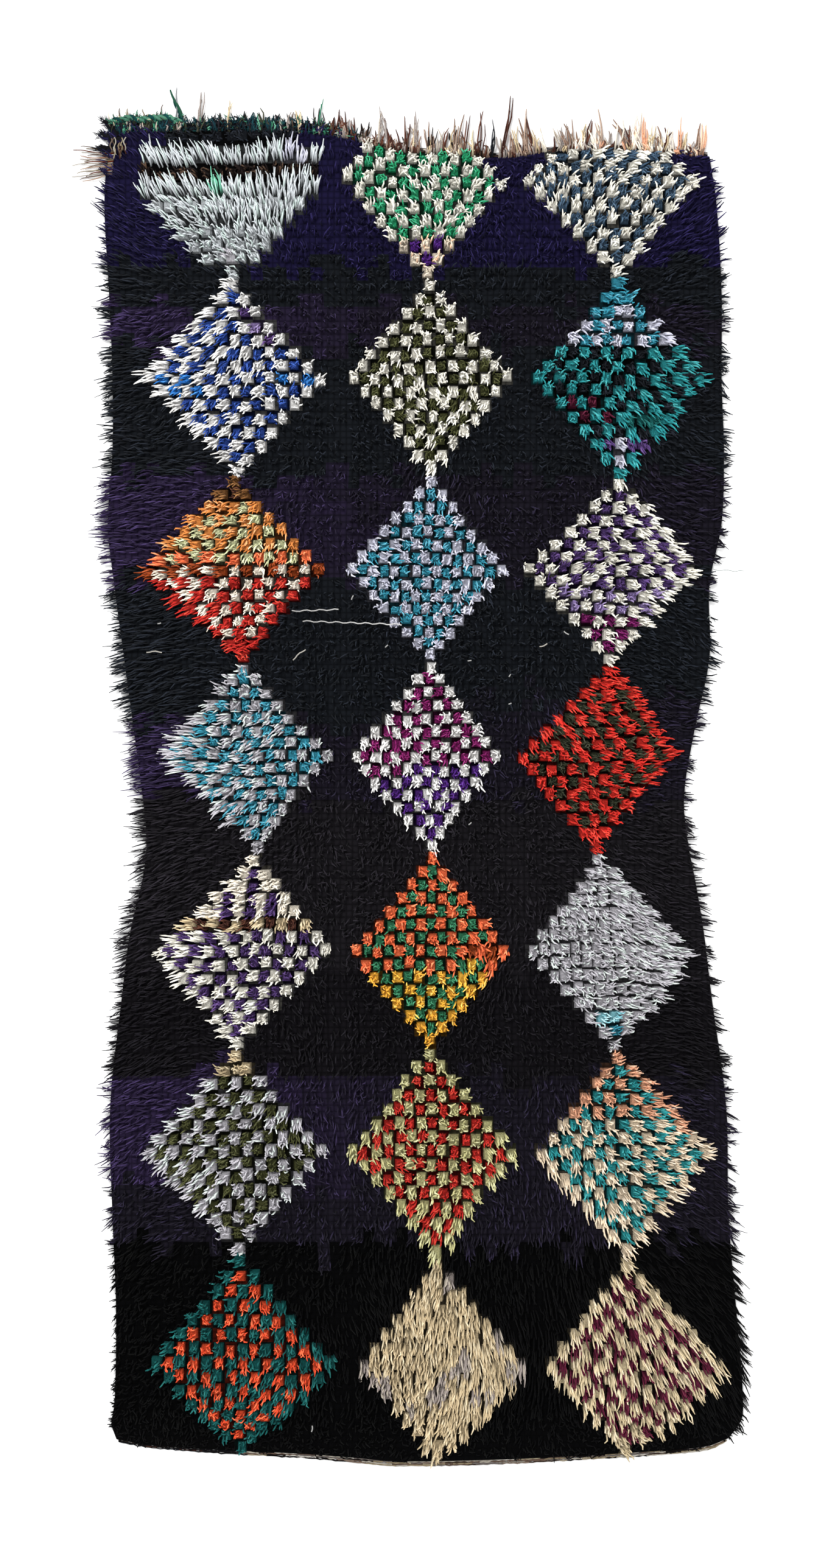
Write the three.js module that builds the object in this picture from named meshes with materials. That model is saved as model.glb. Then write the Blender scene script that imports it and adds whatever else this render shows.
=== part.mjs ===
// Hand-knotted shag rug with a fringed end, lying flat with its pile up.
// Millimetres. +Z is up, +Y runs along the warps towards the fringed end, +X is to the right from above.

import * as THREE from "three";

// The woven body, without its end strips.
const BODY_LENGTH = 2266;
const KNOT_ROWS = 100;
const PILE_HEIGHT = 18; // foundation and pile together, away from the edges
const RIM_HEIGHT = 8; // where the pile falls over the edge
const RIM_FALL = 40; // how far in from an edge the pile reaches its full height
const LUMP_HEIGHT = 4; // how far the pile's lumps rise and fall
const SEAM_GAP = 0.4; // between two pieces that touch

// The long edges wave, with a waist in the middle. along is counted from the fringed end of the body,
// left and right from the middle warp.
const LONG_EDGES = [
  { along: 0, left: -522, right: 516 },
  { along: 89, left: -530, right: 528 },
  { along: 247, left: -522, right: 537 },
  { along: 394, left: -516, right: 537 },
  { along: 520, left: -516, right: 541 },
  { along: 646, left: -524, right: 537 },
  { along: 751, left: -513, right: 516 },
  { along: 877, left: -496, right: 516 },
  { along: 1003, left: -479, right: 490 },
  { along: 1118, left: -464, right: 472 },
  { along: 1197, left: -457, right: 479 },
  { along: 1265, left: -465, right: 492 },
  { along: 1349, left: -485, right: 506 },
  { along: 1465, left: -500, right: 520 },
  { along: 1654, left: -520, right: 545 },
  { along: 1843, left: -516, right: 549 },
  { along: 2000, left: -510, right: 562 },
  { along: 2158, left: -512, right: 574 },
  { along: 2231, left: -518, right: 569 },
  { along: 2266, left: -509, right: 549 },
];

// The ends aren't straight either. across runs from 0 at the left edge to 1 at the right one, rise is
// how far the body stands past its nominal end, and band is the width of the heading woven there.
const FRINGED_END = [
  { across: 0, rise: 24, band: 16 },
  { across: 0.04, rise: 33, band: 16 },
  { across: 0.12, rise: 33, band: 15 },
  { across: 0.22, rise: 34, band: 20 },
  { across: 0.31, rise: 32, band: 17 },
  { across: 0.37, rise: 27, band: 15 },
  { across: 0.43, rise: 12, band: 11 },
  { across: 0.48, rise: -1, band: 9 },
  { across: 0.57, rise: -5, band: 8 },
  { across: 0.65, rise: -12, band: 8 },
  { across: 0.73, rise: -2, band: 8 },
  { across: 0.83, rise: 2, band: 8 },
  { across: 0.91, rise: -2, band: 8 },
  { across: 1, rise: -10, band: 7 },
];
const PLAIN_END = [
  { across: 0, rise: -38, band: 5 },
  { across: 0.05, rise: -29, band: 6 },
  { across: 0.15, rise: -21, band: 7 },
  { across: 0.3, rise: -13, band: 8 },
  { across: 0.4, rise: -5, band: 9 },
  { across: 0.45, rise: 0, band: 9 },
  { across: 0.6, rise: -2, band: 9 },
  { across: 0.75, rise: -9, band: 8 },
  { across: 0.9, rise: -19, band: 8 },
  { across: 0.97, rise: -27, band: 7 },
  { across: 1, rise: -40, band: 5 },
];
const END_FADE = 110; // how far into the body an uneven end still shows

// Columns of the pile's surface: closer at the edges, and where the fringed end steps down.
const COLUMNS = [
  0, 0.014, 0.035, 0.09, 0.15, 0.21, 0.27, 0.33, 0.375, 0.42, 0.465, 0.51, 0.57, 0.63, 0.69, 0.75, 0.81, 0.87,
  0.93, 0.965, 0.986, 1,
];

// Strands: half-way along, they have this share of their width, height and swing.
const STRAND_TAPER = 0.54;
const STRAND_DROOP = 0.68;
const STRAND_BEND = 0.35;

// How many strands each edge carries, and how far they reach past it.
const SIDE_LOCK = { least: 8, spread: 17, sweep: 9, firstLeftRow: 3 };
const WARP_ENDS = { count: 78, height: 6, least: 7, spread: 17, sweep: 5, share: 0.44 };
const PLAIN_BAND = { steps: 96, height: 4 };
const GREEN_YARN = { until: 0.122, steps: 22, width: 13, height: 9, twist: 1.6, turns: 5 };
const CORNER_TUFTS = { width: 9, height: 11 };
const WEFT_TAIL = { firstRow: 1.25, lastRow: 2.6, count: 11, share: 0.5, width: 5, height: 5 };

// Warp ends that stand out from the rest: where, how far past the heading, and how far they swing.
const LONG_WARP_ENDS = [
  { across: 0.146, reach: 52, swing: 5 },
  { across: 0.203, reach: 30, swing: 1 },
  { across: 0.25, reach: 30, swing: 0 },
  { across: 0.31, reach: 25, swing: 2 },
  { across: 0.353, reach: 33, swing: -2 },
  { across: 0.384, reach: 42, swing: -2 },
  { across: 0.396, reach: 36, swing: -6 },
  { across: 0.447, reach: 62, swing: 8 },
  { across: 0.466, reach: 52, swing: -12 },
  { across: 0.53, reach: 40, swing: -4 },
  { across: 0.553, reach: 36, swing: 8 },
  { across: 0.576, reach: 50, swing: 6 },
  { across: 0.615, reach: 60, swing: 5 },
  { across: 0.637, reach: 44, swing: 6 },
  { across: 0.662, reach: 80, swing: 26 },
  { across: 0.692, reach: 44, swing: -4 },
  { across: 0.705, reach: 38, swing: -8 },
  { across: 0.79, reach: 46, swing: 14 },
  { across: 0.82, reach: 42, swing: -8 },
  { across: 0.872, reach: 48, swing: 10 },
  { across: 0.893, reach: 50, swing: 4 },
  { across: 0.922, reach: 44, swing: 12 },
  { across: 0.965, reach: 38, swing: 8 },
];
const YARN_TAILS = [
  { at: 2, reach: 6, swing: 2 },
  { at: 4, reach: 57, swing: -3 },
  { at: 6, reach: 50, swing: 4 },
  { at: 10, reach: 13, swing: 3 },
  { at: 14, reach: 12, swing: -2 },
  { at: 18, reach: 16, swing: -1 },
];
const TUFTS = [
  { reach: 13, swing: -36 },
  { reach: 17, swing: -22 },
  { reach: 14, swing: -7 },
];

const DYES = {
  pile: 0x17141f,
  heading: 0x2c3a3c,
  plain: 0x4a3a34,
  green: 0x2f7a5c,
  tuft: 0x17131c,
  weft: 0xc39a83,
};

// A number from 0 to 1 that looks random and is the same every time.
function scatter(a, b = 0) {
  const s = Math.sin(a * 12.9898 + b * 78.233 + 4.1) * 43758.5453;
  return s - Math.floor(s);
}

// One column of a table at a place between its rows, on a smooth curve through them.
function smoothAt(table, key, column, at) {
  const last = table.length - 1;
  let i = 0;
  while (i < last - 1 && table[i + 1][key] < at) i += 1;
  const slope = (k) => {
    const before = table[Math.max(k - 1, 0)];
    const after = table[Math.min(k + 1, last)];
    return (after[column] - before[column]) / (after[key] - before[key]);
  };
  const [from, to] = [table[i], table[i + 1]];
  const span = to[key] - from[key];
  const t = (at - from[key]) / span;
  const ease = t * t * (3 - 2 * t);
  const bend = span * t * (1 - t) * (slope(i) * (1 - t) - slope(i + 1) * t);
  return from[column] + (to[column] - from[column]) * ease + bend;
}

// A place on the body: u across it from the left edge, v along it from the fringed end, both 0 to 1.
function bodyPlace(u, v) {
  const along = v * BODY_LENGTH;
  const left = smoothAt(LONG_EDGES, "along", "left", along);
  const right = smoothAt(LONG_EDGES, "along", "right", along);
  const nearFringe = 1 - THREE.MathUtils.smoothstep(along, 0, END_FADE);
  const nearPlain = 1 - THREE.MathUtils.smoothstep(BODY_LENGTH - along, 0, END_FADE);
  const y =
    -along +
    smoothAt(FRINGED_END, "across", "rise", u) * nearFringe -
    smoothAt(PLAIN_END, "across", "rise", u) * nearPlain;
  return new THREE.Vector2(left + u * (right - left), y);
}

// The same place on the straight lines that join the body's own points, so that strips fit its edges.
function edgePlace(at, stations, place) {
  let i = 0;
  while (i < stations.length - 2 && stations[i + 1] < at) i += 1;
  const t = (at - stations[i]) / (stations[i + 1] - stations[i]);
  return place(stations[i]).lerp(place(stations[i + 1]), t);
}

// A closed surface put together from points and faces, which turn anticlockwise seen from outside.
class ClosedSurface {
  constructor() {
    this.coordinates = [];
    this.triangles = [];
  }

  point(x, y, z) {
    this.coordinates.push(x, y, z);
    return this.coordinates.length / 3 - 1;
  }

  at(index) {
    return new THREE.Vector3().fromArray(this.coordinates, index * 3);
  }

  triangle(a, b, c) {
    this.triangles.push(a, b, c);
  }

  quad(a, b, c, d) {
    this.triangle(a, b, c);
    this.triangle(a, c, d);
  }

  // An upright wall, a and b on the floor and c and d above them. A strand grows out of it where one is
  // given: it lies on the floor, narrows towards its middle and comes to a point.
  wall([a, b, c, d], out, strand) {
    if (!strand) {
      this.quad(a, b, c, d);
      return;
    }
    const side = this.at(b).sub(this.at(a));
    const root = this.at(a).addScaledVector(side, 0.5);
    const way = new THREE.Vector3(out.x, out.y, 0).multiplyScalar(strand.reach);
    const swing = side.clone().normalize().multiplyScalar(strand.swing);
    const middle = root.clone().addScaledVector(way, 0.5).addScaledVector(swing, STRAND_BEND);
    const half = side.clone().multiplyScalar(STRAND_TAPER / 2);
    const crest = this.at(c).z * STRAND_DROOP;
    const [near, far] = [middle.clone().sub(half), middle.clone().add(half)];
    const ring = [
      this.point(near.x, near.y, 0),
      this.point(far.x, far.y, 0),
      this.point(far.x, far.y, crest),
      this.point(near.x, near.y, crest),
    ];
    const point = root.clone().add(way).add(swing);
    const tip = this.point(point.x, point.y, 0);
    const foot = [a, b, c, d];
    for (let k = 0; k < 4; k += 1) {
      const next = (k + 1) % 4;
      this.quad(foot[k], foot[next], ring[next], ring[k]);
      this.triangle(ring[k], ring[next], tip);
    }
  }

  mesh(name, dye) {
    const geometry = new THREE.BufferGeometry();
    geometry.setAttribute("position", new THREE.Float32BufferAttribute(this.coordinates, 3));
    geometry.setIndex(this.triangles);
    geometry.computeVertexNormals();
    const material = new THREE.MeshStandardMaterial({ color: dye, roughness: 0.95, metalness: 0 });
    const mesh = new THREE.Mesh(geometry, material);
    mesh.name = name;
    return mesh;
  }
}

// The knotted body: a lumpy slab, flat below, with a lock of pile over each long edge for every row.
function knottedBody() {
  const surface = new ClosedSurface();
  const top = [];
  const floor = [];
  const lastColumn = COLUMNS.length - 1;
  const isRim = (row, column) => row === 0 || row === KNOT_ROWS || column === 0 || column === lastColumn;

  for (let row = 0; row <= KNOT_ROWS; row += 1) {
    const v = row / KNOT_ROWS;
    const width = bodyPlace(1, v).x - bodyPlace(0, v).x;
    top.push([]);
    floor.push([]);
    COLUMNS.forEach((u, column) => {
      const place = bodyPlace(u, v);
      const inwards = Math.min(u * width, (1 - u) * width, v * BODY_LENGTH, (1 - v) * BODY_LENGTH);
      const full = THREE.MathUtils.smoothstep(inwards, -RIM_FALL / 2, RIM_FALL);
      const lump = (scatter(row, column) - 0.5) * 2 * LUMP_HEIGHT * (inwards > 0 ? full : 0);
      const height = inwards > 0 ? RIM_HEIGHT + (PILE_HEIGHT - RIM_HEIGHT) * full + lump : RIM_HEIGHT;
      top[row].push(surface.point(place.x, place.y, height));
      floor[row].push(isRim(row, column) ? surface.point(place.x, place.y, 0) : null);
    });
  }

  for (let row = 0; row < KNOT_ROWS; row += 1)
    for (let column = 0; column < lastColumn; column += 1)
      surface.quad(top[row + 1][column], top[row + 1][column + 1], top[row][column + 1], top[row][column]);

  for (let row = 0; row < KNOT_ROWS; row += 1) {
    const lock = (side) => ({
      reach: SIDE_LOCK.least + SIDE_LOCK.spread * scatter(row, side),
      swing: SIDE_LOCK.sweep * (2 * scatter(row, side + 7) - 1),
    });
    const left = [floor[row][0], floor[row + 1][0], top[row + 1][0], top[row][0]];
    const right = [
      floor[row + 1][lastColumn],
      floor[row][lastColumn],
      top[row][lastColumn],
      top[row + 1][lastColumn],
    ];
    surface.wall(left, { x: -1, y: 0 }, row < SIDE_LOCK.firstLeftRow ? null : lock(31));
    surface.wall(right, { x: 1, y: 0 }, lock(57));
  }
  for (let column = 0; column < lastColumn; column += 1) {
    const next = column + 1;
    surface.quad(floor[0][next], floor[0][column], top[0][column], top[0][next]);
    const [near, far] = [floor[KNOT_ROWS], top[KNOT_ROWS]];
    surface.quad(near[column], near[next], far[next], far[column]);
  }

  const rim = [
    ...floor[KNOT_ROWS],
    ...floor.slice(1, -1).reverse().map((points) => points[lastColumn]),
    ...floor[0].slice().reverse(),
    ...floor.slice(1, -1).map((points) => points[0]),
  ];
  const outline = rim.map((index) => new THREE.Vector2(surface.at(index).x, surface.at(index).y));
  for (const [a, b, c] of THREE.ShapeUtils.triangulateShape(outline, []))
    surface.triangle(rim[c], rim[b], rim[a]);
  return surface.mesh("pile_body", DYES.pile);
}

// A strip that follows an edge of the body from one station to the next, with the body on its left hand.
// section gives its two edges' distance from the body and their heights; strand gives what grows there.
function edgeStrip(name, dye, stations, edge, out, section, strand = () => null) {
  const surface = new ClosedSurface();
  const rings = stations.map((station, k) => {
    const base = edge(station);
    const { inner, outer, innerHeight, outerHeight } = section(station, k);
    const place = (offset, z) => surface.point(base.x + out.x * offset, base.y + out.y * offset, z);
    return [place(inner, 0), place(outer, 0), place(outer, outerHeight), place(inner, innerHeight)];
  });
  for (let k = 0; k < rings.length - 1; k += 1) {
    const [inLow, outLow, outHigh, inHigh] = rings[k];
    const [nextInLow, nextOutLow, nextOutHigh, nextInHigh] = rings[k + 1];
    surface.wall([outLow, nextOutLow, nextOutHigh, outHigh], out, strand(k, stations[k], stations[k + 1]));
    surface.quad(outHigh, nextOutHigh, nextInHigh, inHigh);
    surface.quad(nextInLow, inLow, inHigh, nextInHigh);
    surface.quad(outLow, inLow, nextInLow, nextOutLow);
  }
  const [first, last] = [rings[0], rings[rings.length - 1]];
  surface.quad(...first);
  surface.quad(last[1], last[0], last[3], last[2]);
  return surface.mesh(name, dye);
}

const fringedEdge = (u) => edgePlace(u, COLUMNS, (at) => bodyPlace(at, 0));
const plainEdge = (u) => edgePlace(u, COLUMNS, (at) => bodyPlace(at, 1));
const rowStations = Array.from({ length: KNOT_ROWS + 1 }, (_, row) => row / KNOT_ROWS);
const leftEdge = (v) => edgePlace(v, rowStations, (at) => bodyPlace(0, at));
const UP = new THREE.Vector2(0, 1);
const DOWN = new THREE.Vector2(0, -1);
const LEFT = new THREE.Vector2(-1, 0);

const headingBand = (u) => smoothAt(FRINGED_END, "across", "band", u);

// Evenly spaced strands between two places on an edge: each root takes a share of its own space.
const isRoot = (at, { from, to, count, share }) =>
  Math.abs(((((at - from) / (to - from)) * count) % 1) - 0.5) < share / 2;

// Where a strip with such strands has its points: at both sides of each root, and at the corners of the
// body's edge that don't fall in a root.
function strandStations(strands, corners) {
  const { from, to, count, share } = strands;
  const stations = [from, to];
  for (let k = 0; k < count; k += 1)
    for (const side of [-share / 2, share / 2])
      stations.push(from + ((to - from) * (k + 0.5 + side)) / count);
  stations.push(...corners.filter((at) => at > from && at < to && !isRoot(at, strands)));
  return stations.sort((a, b) => a - b);
}

// The heading at the fringed end, a woven band with the cut and looped warp ends growing out of it.
function warpFringe() {
  const { count, height, least, spread, sweep, share } = WARP_ENDS;
  const strands = { from: 0, to: 1, count, share };
  const stations = strandStations(strands, COLUMNS).reverse();
  const section = (u) => ({
    inner: SEAM_GAP,
    outer: SEAM_GAP + headingBand(u),
    innerHeight: height + 2,
    outerHeight: height,
  });
  const strand = (k, from, to) => {
    const middle = (from + to) / 2;
    if (!isRoot(middle, strands) || middle < GREEN_YARN.until) return null;
    const long = LONG_WARP_ENDS.find((end) => Math.abs(end.across - middle) < 0.5 / count);
    if (long) return { reach: long.reach, swing: -long.swing };
    return { reach: least + spread * scatter(k, 3) ** 2, swing: sweep * (2 * scatter(k, 5) - 1) };
  };
  return edgeStrip("warp_fringe", DYES.heading, stations, fringedEdge, UP, section, strand);
}

// The thick green yarn that closes the left part of the fringed end, twisted, with its loose tails.
function greenEndYarn() {
  const { until, steps, width, height, twist, turns } = GREEN_YARN;
  const stations = Array.from({ length: steps + 1 }, (_, k) => until * (1 - k / steps));
  const section = (u) => {
    const wave = Math.sin((u / until) * turns * 2 * Math.PI);
    const inner = headingBand(u) + 2.4 * SEAM_GAP;
    return {
      inner,
      outer: inner + width + twist * wave,
      innerHeight: height - twist * wave,
      outerHeight: height * 0.7 + twist * wave,
    };
  };
  const strand = (k) => {
    const tail = YARN_TAILS.find((end) => end.at === k);
    return tail ? { reach: tail.reach, swing: -tail.swing } : null;
  };
  return edgeStrip("green_end_yarn", DYES.green, stations, fringedEdge, UP, section, strand);
}

// The flat-woven band at the plain end, two passes of weft that lie over and under the warps.
function plainHeading() {
  const { steps, height } = PLAIN_BAND;
  const stations = COLUMNS.slice(0, -1).flatMap((from, column) => {
    const width = COLUMNS[column + 1] - from;
    const parts = Math.ceil(width * steps);
    return Array.from({ length: parts }, (_, k) => from + (width * k) / parts);
  });
  stations.push(1);
  const section = (u, k) => ({
    inner: SEAM_GAP,
    outer: SEAM_GAP + smoothAt(PLAIN_END, "across", "band", u) + (k % 2),
    innerHeight: height + (k % 2),
    outerHeight: height - 1 + ((k + 1) % 2),
  });
  return edgeStrip("plain_heading", DYES.plain, stations, plainEdge, DOWN, section);
}

// Three felted tufts at the corner, and below them the loose ends of the first wefts.
function cornerTufts() {
  const { width, height } = CORNER_TUFTS;
  const stations = Array.from({ length: TUFTS.length + 1 }, (_, k) => k / TUFTS.length / KNOT_ROWS);
  const section = () => ({
    inner: SEAM_GAP,
    outer: SEAM_GAP + width,
    innerHeight: height - 2,
    outerHeight: height,
  });
  return edgeStrip("corner_tufts", DYES.tuft, stations, leftEdge, LEFT, section, (k) => TUFTS[k]);
}

function weftTail() {
  const { width, height, firstRow, lastRow, count, share } = WEFT_TAIL;
  const strands = { from: firstRow / KNOT_ROWS, to: lastRow / KNOT_ROWS, count, share };
  const stations = strandStations(strands, rowStations);
  const section = () => ({
    inner: SEAM_GAP,
    outer: SEAM_GAP + width,
    innerHeight: height,
    outerHeight: height - 1,
  });
  const strand = (k, above, below) => {
    const middle = (above + below) / 2;
    if (!isRoot(middle, strands)) return null;
    const place = (2 * (middle - strands.from)) / (strands.to - strands.from) - 1;
    return { reach: 58 - 22 * place * place - 10 * scatter(k, 11), swing: 10 * place };
  };
  return edgeStrip("weft_tail", DYES.weft, stations, leftEdge, LEFT, section, strand);
}

const rug = new THREE.Group();
rug.add(knottedBody(), warpFringe(), greenEndYarn(), plainHeading(), cornerTufts(), weftTail());

// The origin goes to the middle of the rug's whole outline, on the floor.
const middle = new THREE.Box3().setFromObject(rug).getCenter(new THREE.Vector3());
rug.position.set(-middle.x, -middle.y, 0);

export default rug;
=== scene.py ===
"""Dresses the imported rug: knotted pile in dyed wool, woven headings, a warp fringe and loose yarns.

Metres throughout, in the rug's own frame: +Z out of the pile, +Y along the warps to the fringed end.
"""

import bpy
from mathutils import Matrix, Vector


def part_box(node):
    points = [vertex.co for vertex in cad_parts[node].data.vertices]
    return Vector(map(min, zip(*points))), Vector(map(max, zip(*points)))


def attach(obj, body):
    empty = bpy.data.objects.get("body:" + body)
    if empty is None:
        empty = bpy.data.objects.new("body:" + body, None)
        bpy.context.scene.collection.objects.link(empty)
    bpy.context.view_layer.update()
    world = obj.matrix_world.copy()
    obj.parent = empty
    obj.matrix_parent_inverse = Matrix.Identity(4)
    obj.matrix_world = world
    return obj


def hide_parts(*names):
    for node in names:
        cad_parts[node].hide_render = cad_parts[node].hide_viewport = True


bl_info = {
    "name": "Knotted Shag Rug",
    "version": (1, 0, 0),
    "blender": (4, 5, 0),
    "location": "View3D > Sidebar > Rug",
    "description": "Knots the pile of a shag rug with stepped lozenges, and finishes its ends",
    "category": "Object",
}

from collections import namedtuple

import bpy
import numpy as np
from bpy.props import FloatProperty, FloatVectorProperty, IntProperty, PointerProperty
from mathutils import Vector

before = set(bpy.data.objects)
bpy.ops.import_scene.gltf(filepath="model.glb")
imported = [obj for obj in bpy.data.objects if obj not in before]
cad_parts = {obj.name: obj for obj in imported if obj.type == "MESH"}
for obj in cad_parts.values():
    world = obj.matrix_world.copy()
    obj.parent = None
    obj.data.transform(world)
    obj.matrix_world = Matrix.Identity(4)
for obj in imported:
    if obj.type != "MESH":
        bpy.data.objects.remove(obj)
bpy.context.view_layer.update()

KNOT_ROWS = 100
KNOT_COLUMNS = 51
BODY_LENGTH = 2.266
END_FADE = 0.11  # how far into the body an uneven end still shows
SEAM_GAP = 0.0004
FOUNDATION_TOP = 0.005
KNOT_FOOT = 0.004  # how high the strands of the pile start
OPEN_CUT = 1.2  # knots cut this long, as a share, lie open and show no packed heart
STRAY_HEIGHT = 0.0225  # of the threads that lie on the pile

# The body's long edges, from the middle warp, at places along it from the fringed end.
Edge = namedtuple("Edge", "along left right")
LONG_EDGES = (
    Edge(0.000, -0.522, 0.516),
    Edge(0.089, -0.530, 0.528),
    Edge(0.247, -0.522, 0.537),
    Edge(0.394, -0.516, 0.537),
    Edge(0.520, -0.516, 0.541),
    Edge(0.646, -0.524, 0.537),
    Edge(0.751, -0.513, 0.516),
    Edge(0.877, -0.496, 0.516),
    Edge(1.003, -0.479, 0.490),
    Edge(1.118, -0.464, 0.472),
    Edge(1.197, -0.457, 0.479),
    Edge(1.265, -0.465, 0.492),
    Edge(1.349, -0.485, 0.506),
    Edge(1.465, -0.500, 0.520),
    Edge(1.654, -0.520, 0.545),
    Edge(1.843, -0.516, 0.549),
    Edge(2.000, -0.510, 0.562),
    Edge(2.158, -0.512, 0.574),
    Edge(2.231, -0.518, 0.569),
    Edge(2.266, -0.509, 0.549),
)

# How far each end of the body stands past its nominal place, across it from 0 to 1, and the width of
# the heading there.
End = namedtuple("End", "across rise band")
FRINGED_END = (
    End(0.00, 0.024, 0.016),
    End(0.04, 0.033, 0.016),
    End(0.12, 0.033, 0.015),
    End(0.22, 0.034, 0.020),
    End(0.31, 0.032, 0.017),
    End(0.37, 0.027, 0.015),
    End(0.43, 0.012, 0.011),
    End(0.48, -0.001, 0.009),
    End(0.57, -0.005, 0.008),
    End(0.65, -0.012, 0.008),
    End(0.73, -0.002, 0.008),
    End(0.83, 0.002, 0.008),
    End(0.91, -0.002, 0.008),
    End(1.00, -0.010, 0.007),
)
PLAIN_END = (
    End(0.00, -0.038, 0.005),
    End(0.05, -0.029, 0.006),
    End(0.15, -0.021, 0.007),
    End(0.30, -0.013, 0.008),
    End(0.40, -0.005, 0.009),
    End(0.45, 0.000, 0.009),
    End(0.60, -0.002, 0.009),
    End(0.75, -0.009, 0.008),
    End(0.90, -0.019, 0.008),
    End(0.97, -0.027, 0.007),
    End(1.00, -0.040, 0.005),
)

# The yarns' dyes: the colour that shows in daylight, and the tint of the odd strand spun in with it.
Dye = namedtuple("Dye", "colour tint words")
DYES = {
    "black": Dye("181B20", "22262E", "Ground, black"),
    "soot": Dye("1D1B1F", "262329", "Ground, brown-black"),
    "jet": Dye("030304", "090909", "Ground, deep black"),
    "indigo": Dye("1B1738", "2A2450", "Ground, indigo band"),
    "aubergine": Dye("2E2440", "3F3258", "Ground, aubergine band"),
    "sloe": Dye("1D1A24", "292437", "Ground, faint violet band"),
    "coal": Dye("151317", "1D1B20", "Ground, black-brown"),
    "ink": Dye("14323A", "1E444A", "Blue-black"),
    "silver": Dye("CACFD2", "C4D2CE", "Silver grey"),
    "lilac": Dye("CACADA", "D8D8E4", "Pale lilac"),
    "pearl": Dye("C2BFC5", "D0D8D4", "Lilac grey with a mint tint"),
    "white": Dye("F0EEEB", "FAF9F6", "Undyed white"),
    "cream": Dye("F0ECDF", "FAF7EE", "Cream"),
    "peach_cream": Dye("EADCC8", "EEC4A4", "Cream with a peach tint"),
    "ivory": Dye("F8EEDC", "FCF6EA", "Warm ivory"),
    "ash": Dye("A0958F", "B4AA9C", "Warm grey"),
    "sand": Dye("CCB894", "D8C8A8", "Sand"),
    "straw": Dye("D4C29E", "E0D0B2", "Straw"),
    "celadon": Dye("CED2A4", "E0E2BE", "Pale green"),
    "lime": Dye("C6C28C", "D6D4A6", "Pale lime"),
    "peach": Dye("EAAC8A", "ECC4A6", "Peach"),
    "apricot": Dye("E8D4B8", "F0E0CA", "Apricot"),
    "mint": Dye("78C0A4", "A8DCC8", "Mint"),
    "fern": Dye("3A7C60", "68A88C", "Muted green"),
    "emerald": Dye("2C9A6A", "48AE84", "Emerald"),
    "bottle": Dye("38805C", "4C9A74", "Leaf green"),
    "olive": Dye("484A2C", "5A5C3C", "Olive"),
    "forest": Dye("34382A", "46483A", "Dark green"),
    "slate": Dye("42586E", "546C82", "Slate blue"),
    "royal": Dye("2C4690", "4062B6", "Royal blue"),
    "azure": Dye("2C74C4", "4A90D8", "Azure"),
    "turquoise": Dye("3A92A8", "60AABE", "Turquoise"),
    "teal": Dye("2E9094", "48A6A8", "Teal"),
    "petrol": Dye("1A5C5A", "2A726E", "Petrol"),
    "aqua": Dye("8CCCD6", "B4DEE4", "Pale aqua"),
    "violet": Dye("4E2678", "60388E", "Violet"),
    "purple": Dye("503A6C", "62497F", "Dark purple"),
    "mauve": Dye("8C78AA", "A694C0", "Faded purple"),
    "magenta": Dye("822262", "983676", "Magenta"),
    "plum": Dye("6C1C56", "822A6A", "Plum"),
    "wine": Dye("561A30", "6C2A40", "Wine"),
    "red": Dye("C6302A", "D84C3C", "Red"),
    "scarlet": Dye("D2322A", "E04A3C", "Scarlet"),
    "orange": Dye("FF784C", "FF9466", "Orange"),
    "coral": Dye("EC5634", "F8744C", "Coral"),
    "amber": Dye("FFBA44", "FFCE66", "Amber"),
    "tangerine": Dye("E8924C", "F0AE76", "Faded orange"),
    "bronze": Dye("7C5430", "9A6E44", "Bronze brown"),
    "peat": Dye("1E1614", "4E3C30", "Dark brown, streaked"),
    "rust": Dye("96421E", "AC5430", "Rust brown"),
    "fawn": Dye("8E7464", "AA9484", "Fawn brown"),
    "umber": Dye("4A2C24", "603C2E", "Brown"),
}

# A band of a lozenge, from one row to another, counted from its middle. In a checker the light dye holds
# the outline and every other knot; stripes run along the warps; plain has the light dye alone.
Band = namedtuple("Band", "first last light dark figure")
# A knot or a short run of knots in another dye, by rows and columns from the middle.
Accent = namedtuple("Accent", "row first last dye only")
Lozenge = namedtuple("Lozenge", "name row column bands accents")
HALF_ROWS = 7


def checker(first, last, light, dark):
    return Band(first, last, light, dark, "checker")


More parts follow.
